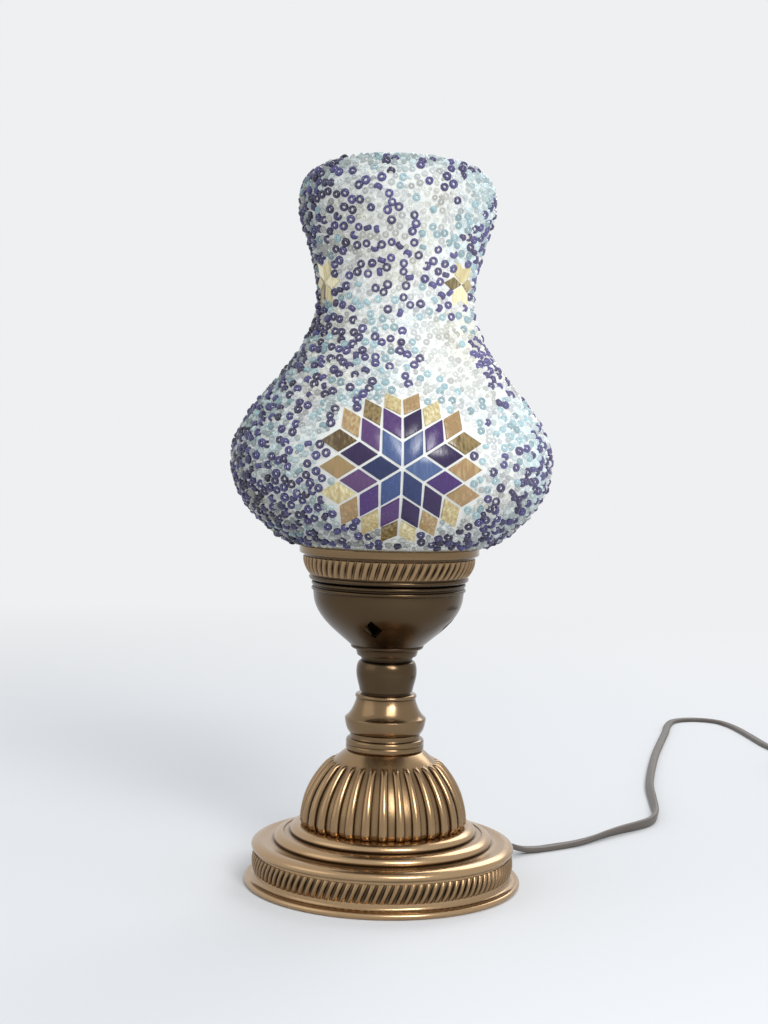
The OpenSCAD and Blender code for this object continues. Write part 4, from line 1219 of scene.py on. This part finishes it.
    def inner_pieces(self) -> None:
        """Finishes of the solids inside and under the base."""
        self.dress_nodes(IRON, "ballast_ring")
        self.dress_nodes(CARD, "base_card")
        self.dress_nodes(FELT, "base_felt")
        self.dress_nodes(ZINC, "base_nut", "base_washer", "grip_screws", "terminal_screws")
        self.dress_nodes(
            PLAIN_BRASS, "threaded_rod", "bowl_washer", "bowl_nut", "thread_shell", "centre_contact"
        )
        self.dress_nodes(BLACK_PLASTIC, "cord_bushing", "cord_grip")
        self.dress_nodes(CORD_SKIN, "internal_flex")
        self.dress_nodes(CORES, "core_wires")
        self.dress_nodes(BAKELITE, "holder_cap", "holder_skirt")
        self.dress_nodes(PORCELAIN, "holder_block")


@dataclass
class Bulb(SubAssembly):
    """The ball-shaped bulb in the holder."""

    neck_r: float = 7.85
    low: float = 166.9
    ball: float = 22.5
    ball_z: float = 202.4
    wall: float = 0.8

    def build(self) -> None:
        """Blows the bulb and dresses its cap."""
        start = math.radians(-50)
        meet = (self.ball * math.cos(start), self.ball_z + self.ball * math.sin(start))
        line = [(5.65, self.low - 4), (5.65, self.low + 0.6), (self.neck_r, self.low + 3)]
        line += bezier((self.neck_r, self.low + 5.2), (self.neck_r, self.low + 10),
                       (meet[0] + 6 * math.sin(start), meet[1] - 6 * math.cos(start)), meet, 10)
        line += arc((0, self.ball_z), self.ball, -50, 88, 30)
        inner = beside(line, -self.wall)[::-1]
        top = self.ball_z + self.ball
        glass = turned("bulb_ball", line + [(0, top), (0, top - self.wall)] + inner, 96)
        self.add(glass, BULB_GLASS, Body.BULB, "bulb_glass", "bulb_glass")
        self.dress_nodes(CAP_METAL, "bulb_cap", "bulb_tip")
        self.dress_nodes(VITRITE, "bulb_insulator")
        self.dress_nodes(CLEAR_GLASS, "bulb_stem")
        self.dress_nodes(TUNGSTEN, "filament")


class ShadeSurface:
    """The glass's outer face: places on it by height and angle."""

    def __init__(self, line: Sequence[Point]) -> None:
        """Measures the line from its low end."""
        self.r = np.array([p[0] for p in line])
        self.z = np.array([p[1] for p in line])
        steps = np.hypot(np.diff(self.r), np.diff(self.z))
        self.run = np.concatenate([[0], np.cumsum(steps)])
        self.slope_r = np.gradient(self.r, self.run)
        self.slope_z = np.gradient(self.z, self.run)

    def spot(self, run: float, angle: float, lift: float) -> tuple[Vector, Vector, Vector]:
        """A place on the shade.

        Args:
            run: distance along the line from the low end.
            angle: radians from the front towards +X.
            lift: distance outwards from the glass.

        Returns:
            The place in millimetres, the outward normal and the upward direction.
        """
        r = float(np.interp(run, self.run, self.r))
        z = float(np.interp(run, self.run, self.z))
        dr = float(np.interp(run, self.run, self.slope_r))
        dz = float(np.interp(run, self.run, self.slope_z))
        size = math.hypot(dr, dz)
        dr, dz = dr / size, dz / size
        out = Vector((math.sin(angle), -math.cos(angle), 0))
        normal = out * dz + Vector((0, 0, -dr))
        upward = out * dr + Vector((0, 0, dz))
        return out * r + Vector((0, 0, z)) + normal * lift, normal, upward

    def run_at(self, height: float) -> float:
        """The distance along the line at a height."""
        return float(np.interp(height, self.z, self.run))

    def height_at(self, run: float) -> float:
        """The glass's height at a distance along the line."""
        return float(np.interp(run, self.run, self.z))

    def radius_at(self, height: float) -> float:
        """The glass's radius at a height."""
        return float(np.interp(height, self.z, self.r))


@dataclass
class Lattice:
    """A six-fold star of rhomb tiles, bent over the swell of the glass."""

    pitch: float
    start: float
    bend: tuple[float, float]
    rings: int
    height: float
    angles: tuple[float, ...]
    gap: float = 1.2

    def side(self, k: int) -> Vector:
        """The lattice's step in direction k."""
        turn = math.radians(self.start + 60 * k)
        return Vector((math.cos(turn), math.sin(turn))) * self.pitch

    def bent(self, p: Vector) -> Vector:
        """A flat point drawn in as the surface curves away."""
        size = p.length
        if size == 0:
            return p
        turn = (p.x / size) ** 2 / self.bend[0] + (p.y / size) ** 2 / self.bend[1]
        return p / size * math.sin(size * turn) / turn

    def edge(self, grow: float) -> list[Vector]:
        """The star's outline.

        Args:
            grow: factor on its size.

        Returns:
            The bent points.
        """
        tips = ((3, 0), (3, 1), (2, 1), (2, 2), (1, 2), (1, 3)) if self.rings == 3 else ((1, 0), (1, 1))
        points = []
        for k in range(6):
            a, b = self.side(k), self.side(k + 1)
            points += [self.bent((a * i + b * j) * grow) for i, j in tips]
        return points

    def tiles(self, ring: int) -> list[tuple[Vector, Vector, Vector]]:
        """Middle and both half directions of each tile in a ring.

        Args:
            ring: 0 for the inner six.

        Returns:
            Bent middle and the bent tile's two side vectors.
        """
        keep = 1 - self.gap / self.pitch / math.sin(math.pi / 3)
        found = []
        for k in range(6):
            a, b = self.side(k), self.side(k + 1)
            for i in range(ring + 1):
                middle = a * (i + 0.5) + b * (ring - i + 0.5)
                along = self.bent(middle + a * 0.5) - self.bent(middle - a * 0.5)
                aside = self.bent(middle + b * 0.5) - self.bent(middle - b * 0.5)
                found.append((self.bent(middle), along * keep, aside * keep))
        return found


def inside(p: Vector, outline: Sequence[Vector]) -> bool:
    """Whether a flat point lies inside a closed outline.

    Args:
        p: the point.
        outline: the outline's points.

    Returns:
        True if it is inside.
    """
    hit = False
    for q, s in zip(outline, list(outline[1:]) + [outline[0]]):
        if (q.y > p.y) != (s.y > p.y) and p.x < (s.x - q.x) * (p.y - q.y) / (s.y - q.y) + q.x:
            hit = not hit
    return hit


@dataclass(frozen=True)
class BeadKind:
    """One kind of seed bead and how it is strewn."""

    name: str
    finish: Finish
    size: float
    height: float
    wanted: int
    lying: float
    segments: tuple[int, int] = (9, 5)


@dataclass
class Shade(SubAssembly):
    """The blown glass with its grout, beads, tiles and cream vent rim."""

    rim_high: float = 170.2
    seat: float = 154.0
    tube_r: float = 37.9
    glass: float = 2.5
    flare: Point = (46.6, 173.1)
    belly: Point = (76.2, 211.8)
    neck: Point = (35.4, 292.8)
    crown: Point = (45.2, 339.8)
    top: float = 357.4
    vent_r: float = 14.0
    bed: float = 2.0
    tile_high: float = 3.0
    beads: tuple[BeadKind, ...] = (
        BeadKind("navy", NAVY_BEADS, 4.5, 2.8, 1450, 0.22),
        BeadKind("aqua", AQUA_BEADS, 4.0, 2.5, 900, 0.2),
        BeadKind("clear", CLEAR_BEADS, 3.6, 2.3, 3000, 0.2, (8, 4)),
        BeadKind("fine", CLEAR_BEADS, 2.9, 2.0, 3400, 0.2, (7, 4)),
        BeadKind("tiny", CLEAR_BEADS, 2.1, 1.7, 3900, 0.25, (6, 4)),
    )
    stars: Lattice = field(default_factory=lambda: Lattice(
        11.6, 30, (79.2, 36), 3, 210.3, (3.4, 123.4, 243.4)))
    flowers: Lattice = field(default_factory=lambda: Lattice(
        7.9, 30, (38.4, 2000), 1, 298.8, (56, 176, 296), 1.0))
    chance: random.Random = field(default_factory=lambda: random.Random(11))

    def line(self) -> list[Point]:
        """The glass's outer line from the flare to the vent."""

        def up(p: Point, q: Point, share: float) -> Point:
            """A handle straight above or below p towards q's height."""
            return p[0], p[1] + (q[1] - p[1]) * share

        end = (self.vent_r, self.top)
        flat = (self.vent_r + 0.77 * (self.crown[0] - self.vent_r), self.top)
        line = bezier(self.flare, (self.flare[0] + 15, self.flare[1] + 7),
                      up(self.belly, self.flare, 0.44), self.belly, 22)
        line += bezier(self.belly, up(self.belly, self.neck, 0.34),
                       up(self.neck, self.belly, 0.44), self.neck, 26)
        line += bezier(self.neck, up(self.neck, self.crown, 0.4),
                       up(self.crown, self.neck, 0.24), self.crown, 18)
        line += bezier(self.crown, up(self.crown, end, 0.62), flat, end, 22)
        return line + [end]

    def build(self) -> None:
        """Builds and dresses all pieces of the shade."""
        self.surface = ShadeSurface(self.line())
        self.skins()
        self.tile_work()
        self.bead_work()

    def skins(self) -> None:
        """Glass, grout bed and vent rim."""
        tube = [(self.tube_r, self.seat)]
        tube += bezier((self.tube_r, self.rim_high - 5), (self.tube_r, self.rim_high - 0.6),
                       (self.flare[0] - 4.5, self.flare[1] - 2.2), self.flare, 8)
        glass = turned("blown_glass", layer(tube + self.line(), -self.glass, 0), 128)
        rings = ("tube", "belly", "shoulder", "waist", "crown")
        self.add(glass, SHADE_GLASS, Body.SHADE, "shade_glass", *(f"shade_{ring}" for ring in rings))
        coat = self.line() + [(self.vent_r + 2, self.top)]
        coat[-2:] = [(self.vent_r + 2, self.top)]
        bed = turned("grout_bed", layer(coat, 0.05, self.bed), 160)
        self.add(bed, GROUT, Body.SHADE, "grout", "grout_coat")
        low, high, r = self.top - self.glass - 0.3, self.top + 3.1, self.vent_r
        rim = [(r - 0.2, low), (r - 0.2, self.top), (r + 2, self.top)]
        rim += arc((r + 1, high - 1.0), 1.0, 0, 90, 6) + arc((r - 0.6, high - 0.9), 0.9, 90, 180, 6)
        rim += [(r - 1.5, low + 0.4), (r - 1.1, low)]
        self.add(turned("vent_ring", rim, 96), CREAM, Body.SHADE, "cream_rim", "vent_rim")

    def tile_model(self, height: float) -> bpy.types.Object:
        """One flat tile, 10 mm square, with its edges rounded."""
        clear_selection()
        bpy.ops.mesh.primitive_cube_add(size=1)
        model = named("tile")
        moved(model, Matrix.Diagonal((10 * MM, 10 * MM, height * MM, 1)))
        return finish_with(model, "BEVEL", width=0.35 * MM, segments=2)

    def lay(self, pattern: Lattice, ring: int) -> tuple[list[Matrix], list[float]]:
        """Places and tones of a ring's tiles on the shade.

        Args:
            pattern: the star or flower.
            ring: which ring.

        Returns:
            A matrix and a tone for each tile.
        """
        places, tones = [], []
        for degrees in pattern.angles:
            for middle, along, aside in pattern.tiles(ring):
                corners = [
                    self.project(pattern, degrees, middle + along * i / 2 + aside * j / 2)
                    for i, j in ((1, 0), (-1, 0), (0, 1), (0, -1))
                ]
                x, y = corners[0] - corners[1], corners[2] - corners[3]
                normal = x.cross(y).normalized()
                normal = (normal + Vector([self.chance.gauss(0, 0.012) for _ in range(3)])).normalized()
                centre = sum(corners, Vector()) / 4 - normal * (0.75 + self.chance.random() * 0.15)
                matrix = Matrix((x / 10, y / 10, normal)).transposed().to_4x4()
                matrix.translation = centre * MM
                places.append(matrix)
                tones.append(self.chance.random())
        return places, tones

    def project(self, pattern: Lattice, degrees: float, p: Vector) -> Vector:
        """A flat point of a pattern on the tiles' outer face, in millimetres."""
        height = pattern.height + p.y
        r = self.surface.radius_at(height) + self.tile_high
        turn = math.radians(degrees) + math.asin(max(-1, min(1, p.x / r)))
        run = self.surface.run_at(height)
        return self.surface.spot(run, turn, self.tile_high)[0]

    def tile_work(self) -> None:
        """The three big stars and the three flowers."""
        rings = (("blue", BLUE_TILES), ("purple", PURPLE_TILES), ("gold", GOLD_TILES))
        for ring, (colour, finish) in enumerate(rings):
            places, tones = self.lay(self.stars, ring)
            tiles = copies(f"tiles_{colour}", self.tile_model(1.6), places, tones)
            self.add(soften(tiles, 30), finish, Body.SHADE, finish.name, f"star_tiles_{colour}")
        places, tones = self.lay(self.flowers, 0)
        tiles = copies("tiles_flower", self.tile_model(1.6), places, tones)
        self.add(soften(tiles, 30), FLOWER_TILES, Body.SHADE, "gold_tiles", "flower_tiles")

    def covered(self, angle: float, height: float) -> bool:
        """Whether tiles cover a place.

        Args:
            angle: radians from the front.
            height: in millimetres.

        Returns:
            True where a bead would lie on a tile.
        """
        for pattern, outline in self.windows:
            if abs(height - pattern.height) > pattern.pitch * pattern.rings * 2:
                continue
            r = self.surface.radius_at(height) + self.tile_high
            for degrees in pattern.angles:
                turn = angle - math.radians(degrees)
                p = Vector((r * math.sin(turn), height - pattern.height))
                if math.cos(turn) > 0 and inside(p, outline):
                    return True
        return False

    def bead_model(self, kind: BeadKind) -> bpy.types.Object:
        """One seed bead: a short tube with round ends."""
        around, across = kind.segments
        hole = 0.36 * kind.size / 2
        thick = (kind.size / 2 - hole) / 2
        clear_selection()
        bpy.ops.mesh.primitive_torus_add(
            major_segments=around, minor_segments=across,
            major_radius=(hole + thick) * MM, minor_radius=thick * MM,
        )
        return moved(named("bead"), Matrix.Diagonal((1, 1, kind.height / 2 / thick, 1)))

    def bead_work(self) -> None:
        """Strews the beads: navy and aqua first, then clear ones in what is left."""
        self.windows = [(self.stars, self.stars.edge(1.085)), (self.flowers, self.flowers.edge(1.15))]
        taken: dict[tuple[int, int, int], list[tuple[Vector, float]]] = {}
        last = float(self.surface.run[-1]) - 3.4
        stand_in = ["bead_coat"]
        filled: list[Matrix] = []
        for kind in self.beads:
            places, tones = self.strew(kind, taken, last)
            piece = copies(f"beads_{kind.name}", self.bead_model(kind), places, tones)
            self.add(piece, kind.finish, Body.SHADE, "beads", *stand_in)
            stand_in = []
            filled += [place @ Matrix.Scale(kind.size, 4) for place in places]
        # Painted light: grout raised into every bead's hole, so that the holes glow instead of lying in
        # shade.
        plugs = copies("glowing_grout_in_holes", self.plug_model(), filled, [0.5] * len(filled))
        self.add(plugs, GROUT, Body.SHADE, "grout")

    def plug_model(self) -> bpy.types.Object:
        """The grout that fills a bead's hole, raised so that the hole shows the grout's painted glow, for a
        bead 1 mm wide.
        """
        clear_selection()
        bpy.ops.mesh.primitive_cone_add(vertices=7, radius1=0.18 * MM, radius2=0, depth=0.16 * MM)
        return moved(named("plug"), Matrix.Translation((0, 0, 0.1 * MM)))

    def aqua_share(self, spot: Vector) -> float:
        """How likely an aqua bead is: they gather at the shoulders, the lower belly and the side turned from
        the glow (painted shade).
        """
        wave = math.sin(spot.z / 17 + 2.2 * math.sin(spot.x / 23)) + math.sin(spot.y / 19 - spot.z / 31)
        # Painted shade: more aqua beads on the side turned from the glow.
        turned_from_glow = -math.cos(math.atan2(spot.x, -spot.y) - math.radians(28))
        return 0.32 + 0.3 * wave + 0.3 * turned_from_glow

    def navy_share(self, spot: Vector) -> float:
        """How likely a navy bead is: in groups, most on the low belly, few at the hot spot and the rim."""
        wave = math.sin(spot.z / 9 + 3 * math.sin(spot.x / 15)) * math.sin(spot.x / 11 - spot.y / 13)
        turn = math.atan2(spot.x, -spot.y)
        # Painted highlight and painted shade: fewer navy beads at the hot spot, more on the side turned from
        # the glow.
        turned_from_glow = -math.cos(turn - math.radians(40))
        hot = math.exp(-((turn - 0.4) / 0.42) ** 2 - ((spot.z - 238) / 20) ** 2)
        low = max(0.0, (self.belly[1] - spot.z) / 40)
        rim = max(0.0, (spot.z - self.top + 2.4) / 4)
        return 0.5 + 0.4 * wave + 0.2 * low + 0.28 * turned_from_glow - 0.7 * hot - rim

    def strew(
        self,
        kind: BeadKind,
        taken: dict[tuple[int, int, int], list[tuple[Vector, float]]],
        last: float,
    ) -> tuple[list[Matrix], list[float]]:
        """Drops beads of one kind at random wherever there is room.

        Args:
            kind: the beads.
            taken: what lies there already, by cell; it is added to.
            last: the run at which beads stop.

        Returns:
            A matrix and a tone for each bead.
        """
        places, tones, cell = [], [], 4.6
        widest = float(self.surface.r.max()) + self.bed
        for _ in range(kind.wanted * 16):
            if len(places) >= kind.wanted:
                break
            run = 2.6 + self.chance.random() * (last - 2.6)
            angle = self.chance.random() * TURN
            spot, normal, upward = self.surface.spot(run, angle, self.bed + 0.35)
            if self.chance.random() > math.hypot(spot.x, spot.y) / widest:
                continue
            if kind.name == "aqua" and self.chance.random() > self.aqua_share(spot):
                continue
            if kind.name == "navy" and self.chance.random() > self.navy_share(spot):
                continue
            key = tuple(int(math.floor(c / cell)) for c in spot)
            if self.crowded(spot, kind.size, key, taken) or self.covered(angle, self.surface.height_at(run)):
                continue
            taken.setdefault(key, []).append((spot, kind.size))
            places.append(self.bead_place(kind, spot, normal, upward))
            tones.append(self.chance.random())
        return places, tones

    @staticmethod
    def crowded(
        spot: Vector, size: float, key: tuple[int, ...],
        taken: dict[tuple[int, int, int], list[tuple[Vector, float]]],
    ) -> bool:
        """Whether another bead is too near.

        Args:
            spot: the wanted place.
            size: the bead's width.
            key: its cell.
            taken: the beads by cell.

        Returns:
            True if there is no room.
        """
        for dx in (-1, 0, 1):
            for dy in (-1, 0, 1):
                for dz in (-1, 0, 1):
                    for other, wide in taken.get((key[0] + dx, key[1] + dy, key[2] + dz), ()):
                        if (other - spot).length < 0.43 * (size + wide):
                            return True
        return False

    def bead_place(self, kind: BeadKind, spot: Vector, normal: Vector, upward: Vector) -> Matrix:
        """Turns a bead on its place: hole outwards and a little tilted, or lying on its side.

        Args:
            kind: the bead's kind.
            spot: its middle in millimetres.
            normal, upward: directions on the shade.

        Returns:
            The bead's matrix in metres.
        """
        tilt = self.chance.gauss(0, 0.3)
        if self.chance.random() < kind.lying:
            tilt = math.pi / 2 + self.chance.gauss(0, 0.2)
        pivot = upward.copy()
        pivot.rotate(Matrix.Rotation(self.chance.random() * TURN, 3, normal))
        axis = normal.copy()
        axis.rotate(Matrix.Rotation(tilt, 3, pivot))
        matrix = axis.to_track_quat("Z", "Y").to_matrix().to_4x4()
        matrix = matrix @ Matrix.Scale(0.92 + 0.16 * self.chance.random(), 4)
        matrix.translation = (spot + normal * self.chance.uniform(-0.3, 0.5)) * MM
        return matrix


@dataclass
class Cord(SubAssembly):
    """The flat cord from the foot through the switch and the coil to the plug."""

    width: float = 5.5
    thick: float = 3.2
    outlet_turn: float = 38.5
    outlet_r: float = 68.6
    outlet_z: float = 11.0
    switch: tuple[float, float] = (300, 289)
    switch_l: float = 62
    into_switch: float = 4.0
    coil: tuple[float, float] = (338.2, 215)
    coil_r: float = 38.2
    coil_gap: float = 0.6
    turns: int = 5
    turn_back: float = 2.5
    climb: float = 0.5
    plug_z: float = 6.85
    step: float = 4.0
    route: tuple[tuple[float, float, float, float], ...] = (
        (67, 52.5, 5.2, 0), (76.5, 58.8, 1.2, 0), (87, 65, 0, 0), (97, 71.5, 0, 0), (109, 80, 0, 10),
        (121.5, 93, 0, 30), (135, 107, 0, 55), (148, 119, 0, 75), (158, 132, 0, 85),
        (164, 152, 0, 75), (168, 186, 0, 50), (173, 230, 0, 30), (181.5, 277, 0, 15),
        (194, 336, 0, 5), (206, 385, 0, 0), (217, 428, 0, 0), (224, 458, 0, 0), (233, 480, 0, 0),
        (250, 489, 0, 0), (267, 482, 0, 0), (275.5, 460, 0, 0), (280, 426, 0, 0), (284, 385, 0, 0),
        (290, 360, 0, 0), (297.5, 341, 0.6, 0),
    )

    def section(self) -> list[Point]:
        """The flat cord's section: two cores side by side with a faint groove."""
        points = []
        for i in range(16):
            turn = TURN * (i + 0.5) / 16
            x = self.width / 2 * math.copysign(abs(math.cos(turn)) ** 0.8, math.cos(turn))
            waist = 1 - 0.14 * math.exp(-((x / 0.8) ** 2))
            y = self.thick / 2 * math.copysign(abs(math.sin(turn)) ** 0.6, math.sin(turn)) * waist
            points.append((x, y))
        return points

    def lift(self, roll: float) -> float:
        """How far the middle lies above the surface at a roll in degrees."""
        s, c = math.sin(math.radians(roll)), math.cos(math.radians(roll))
        return max(abs(x * s + y * c) for x, y in self.section())

    def smooth(self, points: Sequence[tuple[float, ...]]) -> list[tuple[float, ...]]:
        """A curve through points of the route.

        Args:
            points: x, y, height of the underside and roll.

        Returns:
            Closer points of the same kind.
        """
        made = []
        for i in range(len(points) - 1):
            b, c = np.array(points[i]), np.array(points[i + 1])
            a = np.array(points[i - 1]) if i else 2 * b - c
            d = np.array(points[i + 2]) if i + 2 < len(points) else 2 * c - b
            count = max(2, round(float(np.hypot(*(c - b)[:2])) / self.step))
            for t in (j / count for j in range(count)):
                made.append(tuple(0.5 * (2 * b + (c - a) * t + (2 * a - 5 * b + 4 * c - d) * t * t
                                         + (3 * b - a - 3 * c + d) * t**3)))
        return made + [tuple(points[-1])]

    def on_floor(self, points: Sequence[tuple[float, ...]]) -> list[tuple[Vector, float]]:
        """Middle points and rolls of a stretch that lies on the surface."""
        return [
            (Vector((x, y, max(z, 0) + self.lift(roll))), roll)
            for x, y, z, roll in self.smooth(points)
        ]

    def coil_line(self) -> list[tuple[Vector, float]]:
        """The coil: wound in, up a layer, and out again."""
        line, per_turn = [], 56
        step, low = self.width + self.coil_gap, self.thick / 2
        rise = self.thick + self.coil_gap
        for i in range(self.turns * per_turn + 1):
            t = i / per_turn
            share = min(1, max(0, 0.5 + (t - self.turn_back) / self.climb))
            r = self.coil_r - step * self.turn_back + step * abs(t - self.turn_back)
            turn = math.pi + TURN * t
            height = low + rise * share * share * (3 - 2 * share)
            line.append((Vector((self.coil[0] + r * math.cos(turn),
                                 self.coil[1] + r * math.sin(turn), height)), 0.0))
        return line

    def line(self) -> list[tuple[Vector, float]]:
        """The whole cord's middle points and rolls, in millimetres and degrees."""
        turn, half = math.radians(self.outlet_turn), self.thick / 2
        out = [((self.outlet_r + by) * math.cos(turn), (self.outlet_r + by) * math.sin(turn),
                self.outlet_z - half, 0) for by in (0, 7)]
        x, y = self.switch
        end, entry = self.switch_l / 2, self.into_switch - half
        route = out + list(self.route) + [(x, y + end + 8, entry, 0), (x, y + end, entry, 0)]
        link = [(x, y - end, entry, 0), (x, y - end - 6, entry, 0),
                (x, self.coil[1] + 18, 0, 0), (x, self.coil[1] + self.width, 0, 0)]
        coil = self.coil_line()
        leave = coil[-1][0].y - self.width
        high = coil[-1][0].z - half
        relief = leave - 38
        tail = [(x, leave, high, 0), (x, leave - 9, high, 0),
                (x, relief + 9, self.plug_z - half, 0), (x, relief, self.plug_z - half, 0)]
        return self.on_floor(route) + self.on_floor(link) + coil + self.on_floor(tail)

    def build(self, pieces: Sequence[bpy.types.Object | str]) -> None:
        """Args:
            pieces: switch, plug and what else sits on it; not used.
        """
        line = self.line()
        section = self.section()
        vertices, faces, n = [], [], len(section)
        for i, (spot, roll) in enumerate(line):
            ahead = line[min(i + 1, len(line) - 1)][0] - line[max(i - 1, 0)][0]
            across = ahead.cross(Vector((0, 0, 1))).normalized()
            over = across.cross(ahead).normalized()
            s, c = math.sin(math.radians(roll)), math.cos(math.radians(roll))
            for x, y in section:
                vertices.append((spot + across * (x * c - y * s) + over * (x * s + y * c)) * MM)
        for i in range(len(line) - 1):
            faces += [(i * n + j, i * n + (j + 1) % n, (i + 1) * n + (j + 1) % n, (i + 1) * n + j)
                      for j in range(n)]
        faces += [tuple(range(n))[::-1], tuple(range((len(line) - 1) * n, len(line) * n))]
        mesh = bpy.data.meshes.new("mains_cord")
        mesh.from_pydata(vertices, [], faces)
        piece = bpy.data.objects.new("mains_cord", mesh)
        bpy.context.scene.collection.objects.link(piece)
        close_up(piece, 1e-7)
        soften(piece, 60)
        self.add(piece, CORD_SKIN, Body.BASE, "cord", "lamp_cord", "cord_link", "cord_coil", "cord_tail")
        path = [spot * MM for spot, _ in line]
        length = sum((b - a).length for a, b in zip(path, path[1:]))
        LOG.info("cord length %.3f m", length)


@dataclass
class Fittings(SubAssembly):
    """The inline switch and the two-pin plug on the cord."""

    middle: tuple[float, float] = (300, 289)
    length: float = 62
    width: float = 26
    height: float = 16.6
    split: float = 8.4
    pivot_z: float = 13.2
    rocker: tuple[float, float] = (8.4, 15.6)
    tilt: float = 8
    plug_x: float = 300
    plug_back: float = 146.5
    plug_l: float = 36
    plug_w: float = 35.3
    plug_t: float = 13.7
    relief_l: float = 25

    def build(self) -> list[bpy.types.Object]:
        """Builds switch and plug.

        Returns:
            The new pieces.
        """
        made = [*self.switch_shells(), self.rocker_piece(), *self.plug()]
        self.dress_nodes(PLAIN_BRASS, "switch_contacts")
        self.dress_nodes(CORES, "switch_wires")
        self.dress_nodes(ZINC, "switch_screws")
        self.dress_nodes(NICKEL, "plug_pins")
        self.dress_nodes(BLACK_PLASTIC, "pin_sleeves")
        return made

    def switch_shells(self) -> list[bpy.types.Object]:
        """The two shells with a fine joint between them."""
        at = Matrix.Translation(Vector((*self.middle, 0)) * MM)
        outline = rounded_box(self.width, self.length, 9)
        lower = bevelled(prism("switch_bottom", outline, 0, self.split), 0.5)
        upper = prism("switch_top", outline, self.split, self.height)
        well = prism("well", rounded_box(self.rocker[0] + 0.8, self.rocker[1] + 1.6, 0.8, 3),
                     self.pivot_z - 2.2, self.height + 3)
        bevelled(upper, 1.5, 4)
        cut(upper, well)
        for shell, node in ((lower, "switch_lower"), (upper, "switch_upper")):
            self.add(moved(soften(shell, 40), at), BLACK_PLASTIC, Body.BASE, "black_plastic", node)
        return [lower, upper]

    def rocker_piece(self) -> bpy.types.Object:
        """The rocker, tipped to its rest side."""
        w, l = self.rocker
        side = [(-l / 2, 0.6), (-5, -1.8), (5, -1.8), (l / 2, 0.6), (l / 2, 5.2)]
        side += [(x, 3.6 + 1.6 * (x / l * 2) ** 2) for x in (6, 4, 2, 0, -2, -4, -6)]
        side += [(-l / 2, 5.2)]
        piece = bevelled(prism("rocker", side, -w / 2, w / 2), 0.5)
        upright = Matrix(((0, 0, 1, 0), (1, 0, 0, 0), (0, 1, 0, 0), (0, 0, 0, 1)))
        tip = Matrix.Rotation(math.radians(-self.tilt), 4, "X")
        at = Matrix.Translation(Vector((*self.middle, self.pivot_z)) * MM)
        moved(piece, at @ tip @ upright)
        return self.add(piece, BLACK_PLASTIC, Body.ROCKER, "black_plastic", "switch_rocker")

    def plug(self) -> list[bpy.types.Object]:
        """The plug's body and its ribbed strain relief."""
        w, l = self.plug_w, self.plug_l
        outline = arc((w / 2 - 3, 3), 3, -90, 0, 6) + arc((w / 2 - 9, l * 0.62), 9, 0, 50, 8)
        outline += [(6, l), (-6, l)] + arc((9 - w / 2, l * 0.62), 9, 130, 180, 8)
        outline += arc((3 - w / 2, 3), 3, 180, 270, 6)
        body = bevelled(prism("plug_shell", outline, 0, self.plug_t), 1.4, 4)
        front = self.plug_back - l
        moved(body, Matrix.Translation(Vector((self.plug_x, front, 0)) * MM))
        self.add(body, BLACK_PLASTIC, Body.BASE, "black_plastic", "plug_body")
        grooves = [(4 + 4 * k + by, r) for k in range(5)
                   for by, r in ((0, 0), (0.2, 3.2), (1.2, 3.2), (1.4, 0))]
        line = [(0.0, 0.0), (5.4, 0.0)]
        for z, r in grooves:
            line.append((r or 5.4 - 1.7 * z / self.relief_l, z))
        line += [(3.8, self.relief_l - 0.6), (3.4, self.relief_l), (0.0, self.relief_l)]
        relief = turned("relief", line, 40)
        stand = Matrix.Rotation(math.radians(-90), 4, "X")
        at = Matrix.Translation(Vector((self.plug_x, self.plug_back, self.plug_t / 2)) * MM)
        moved(relief, at @ stand)
        self.add(relief, BLACK_PLASTIC, Body.BASE, "black_plastic", "plug_relief")
        return [body, relief]


def main() -> None:
    """Builds the whole scene."""
    logging.basicConfig(level=logging.INFO, format="%(message)s")
    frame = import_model()
    bpy.context.scene.view_settings.view_transform = "Standard"
    clear_selection()
    studio = Studio()
    studio.aim()
    fittings = Fittings(frame).build()
    on_cord = fittings + [
        frame["nodes"][name]
        for name in ("switch_contacts", "switch_wires", "switch_screws", "plug_pins", "pin_sleeves")
    ]
    Cord(frame).build(on_cord)
    Base(frame).build()
    Bulb(frame).build()
    Shade(frame).build()
    studio.light()
    studio.lay_floor()


if __name__ == "__main__":
    main()
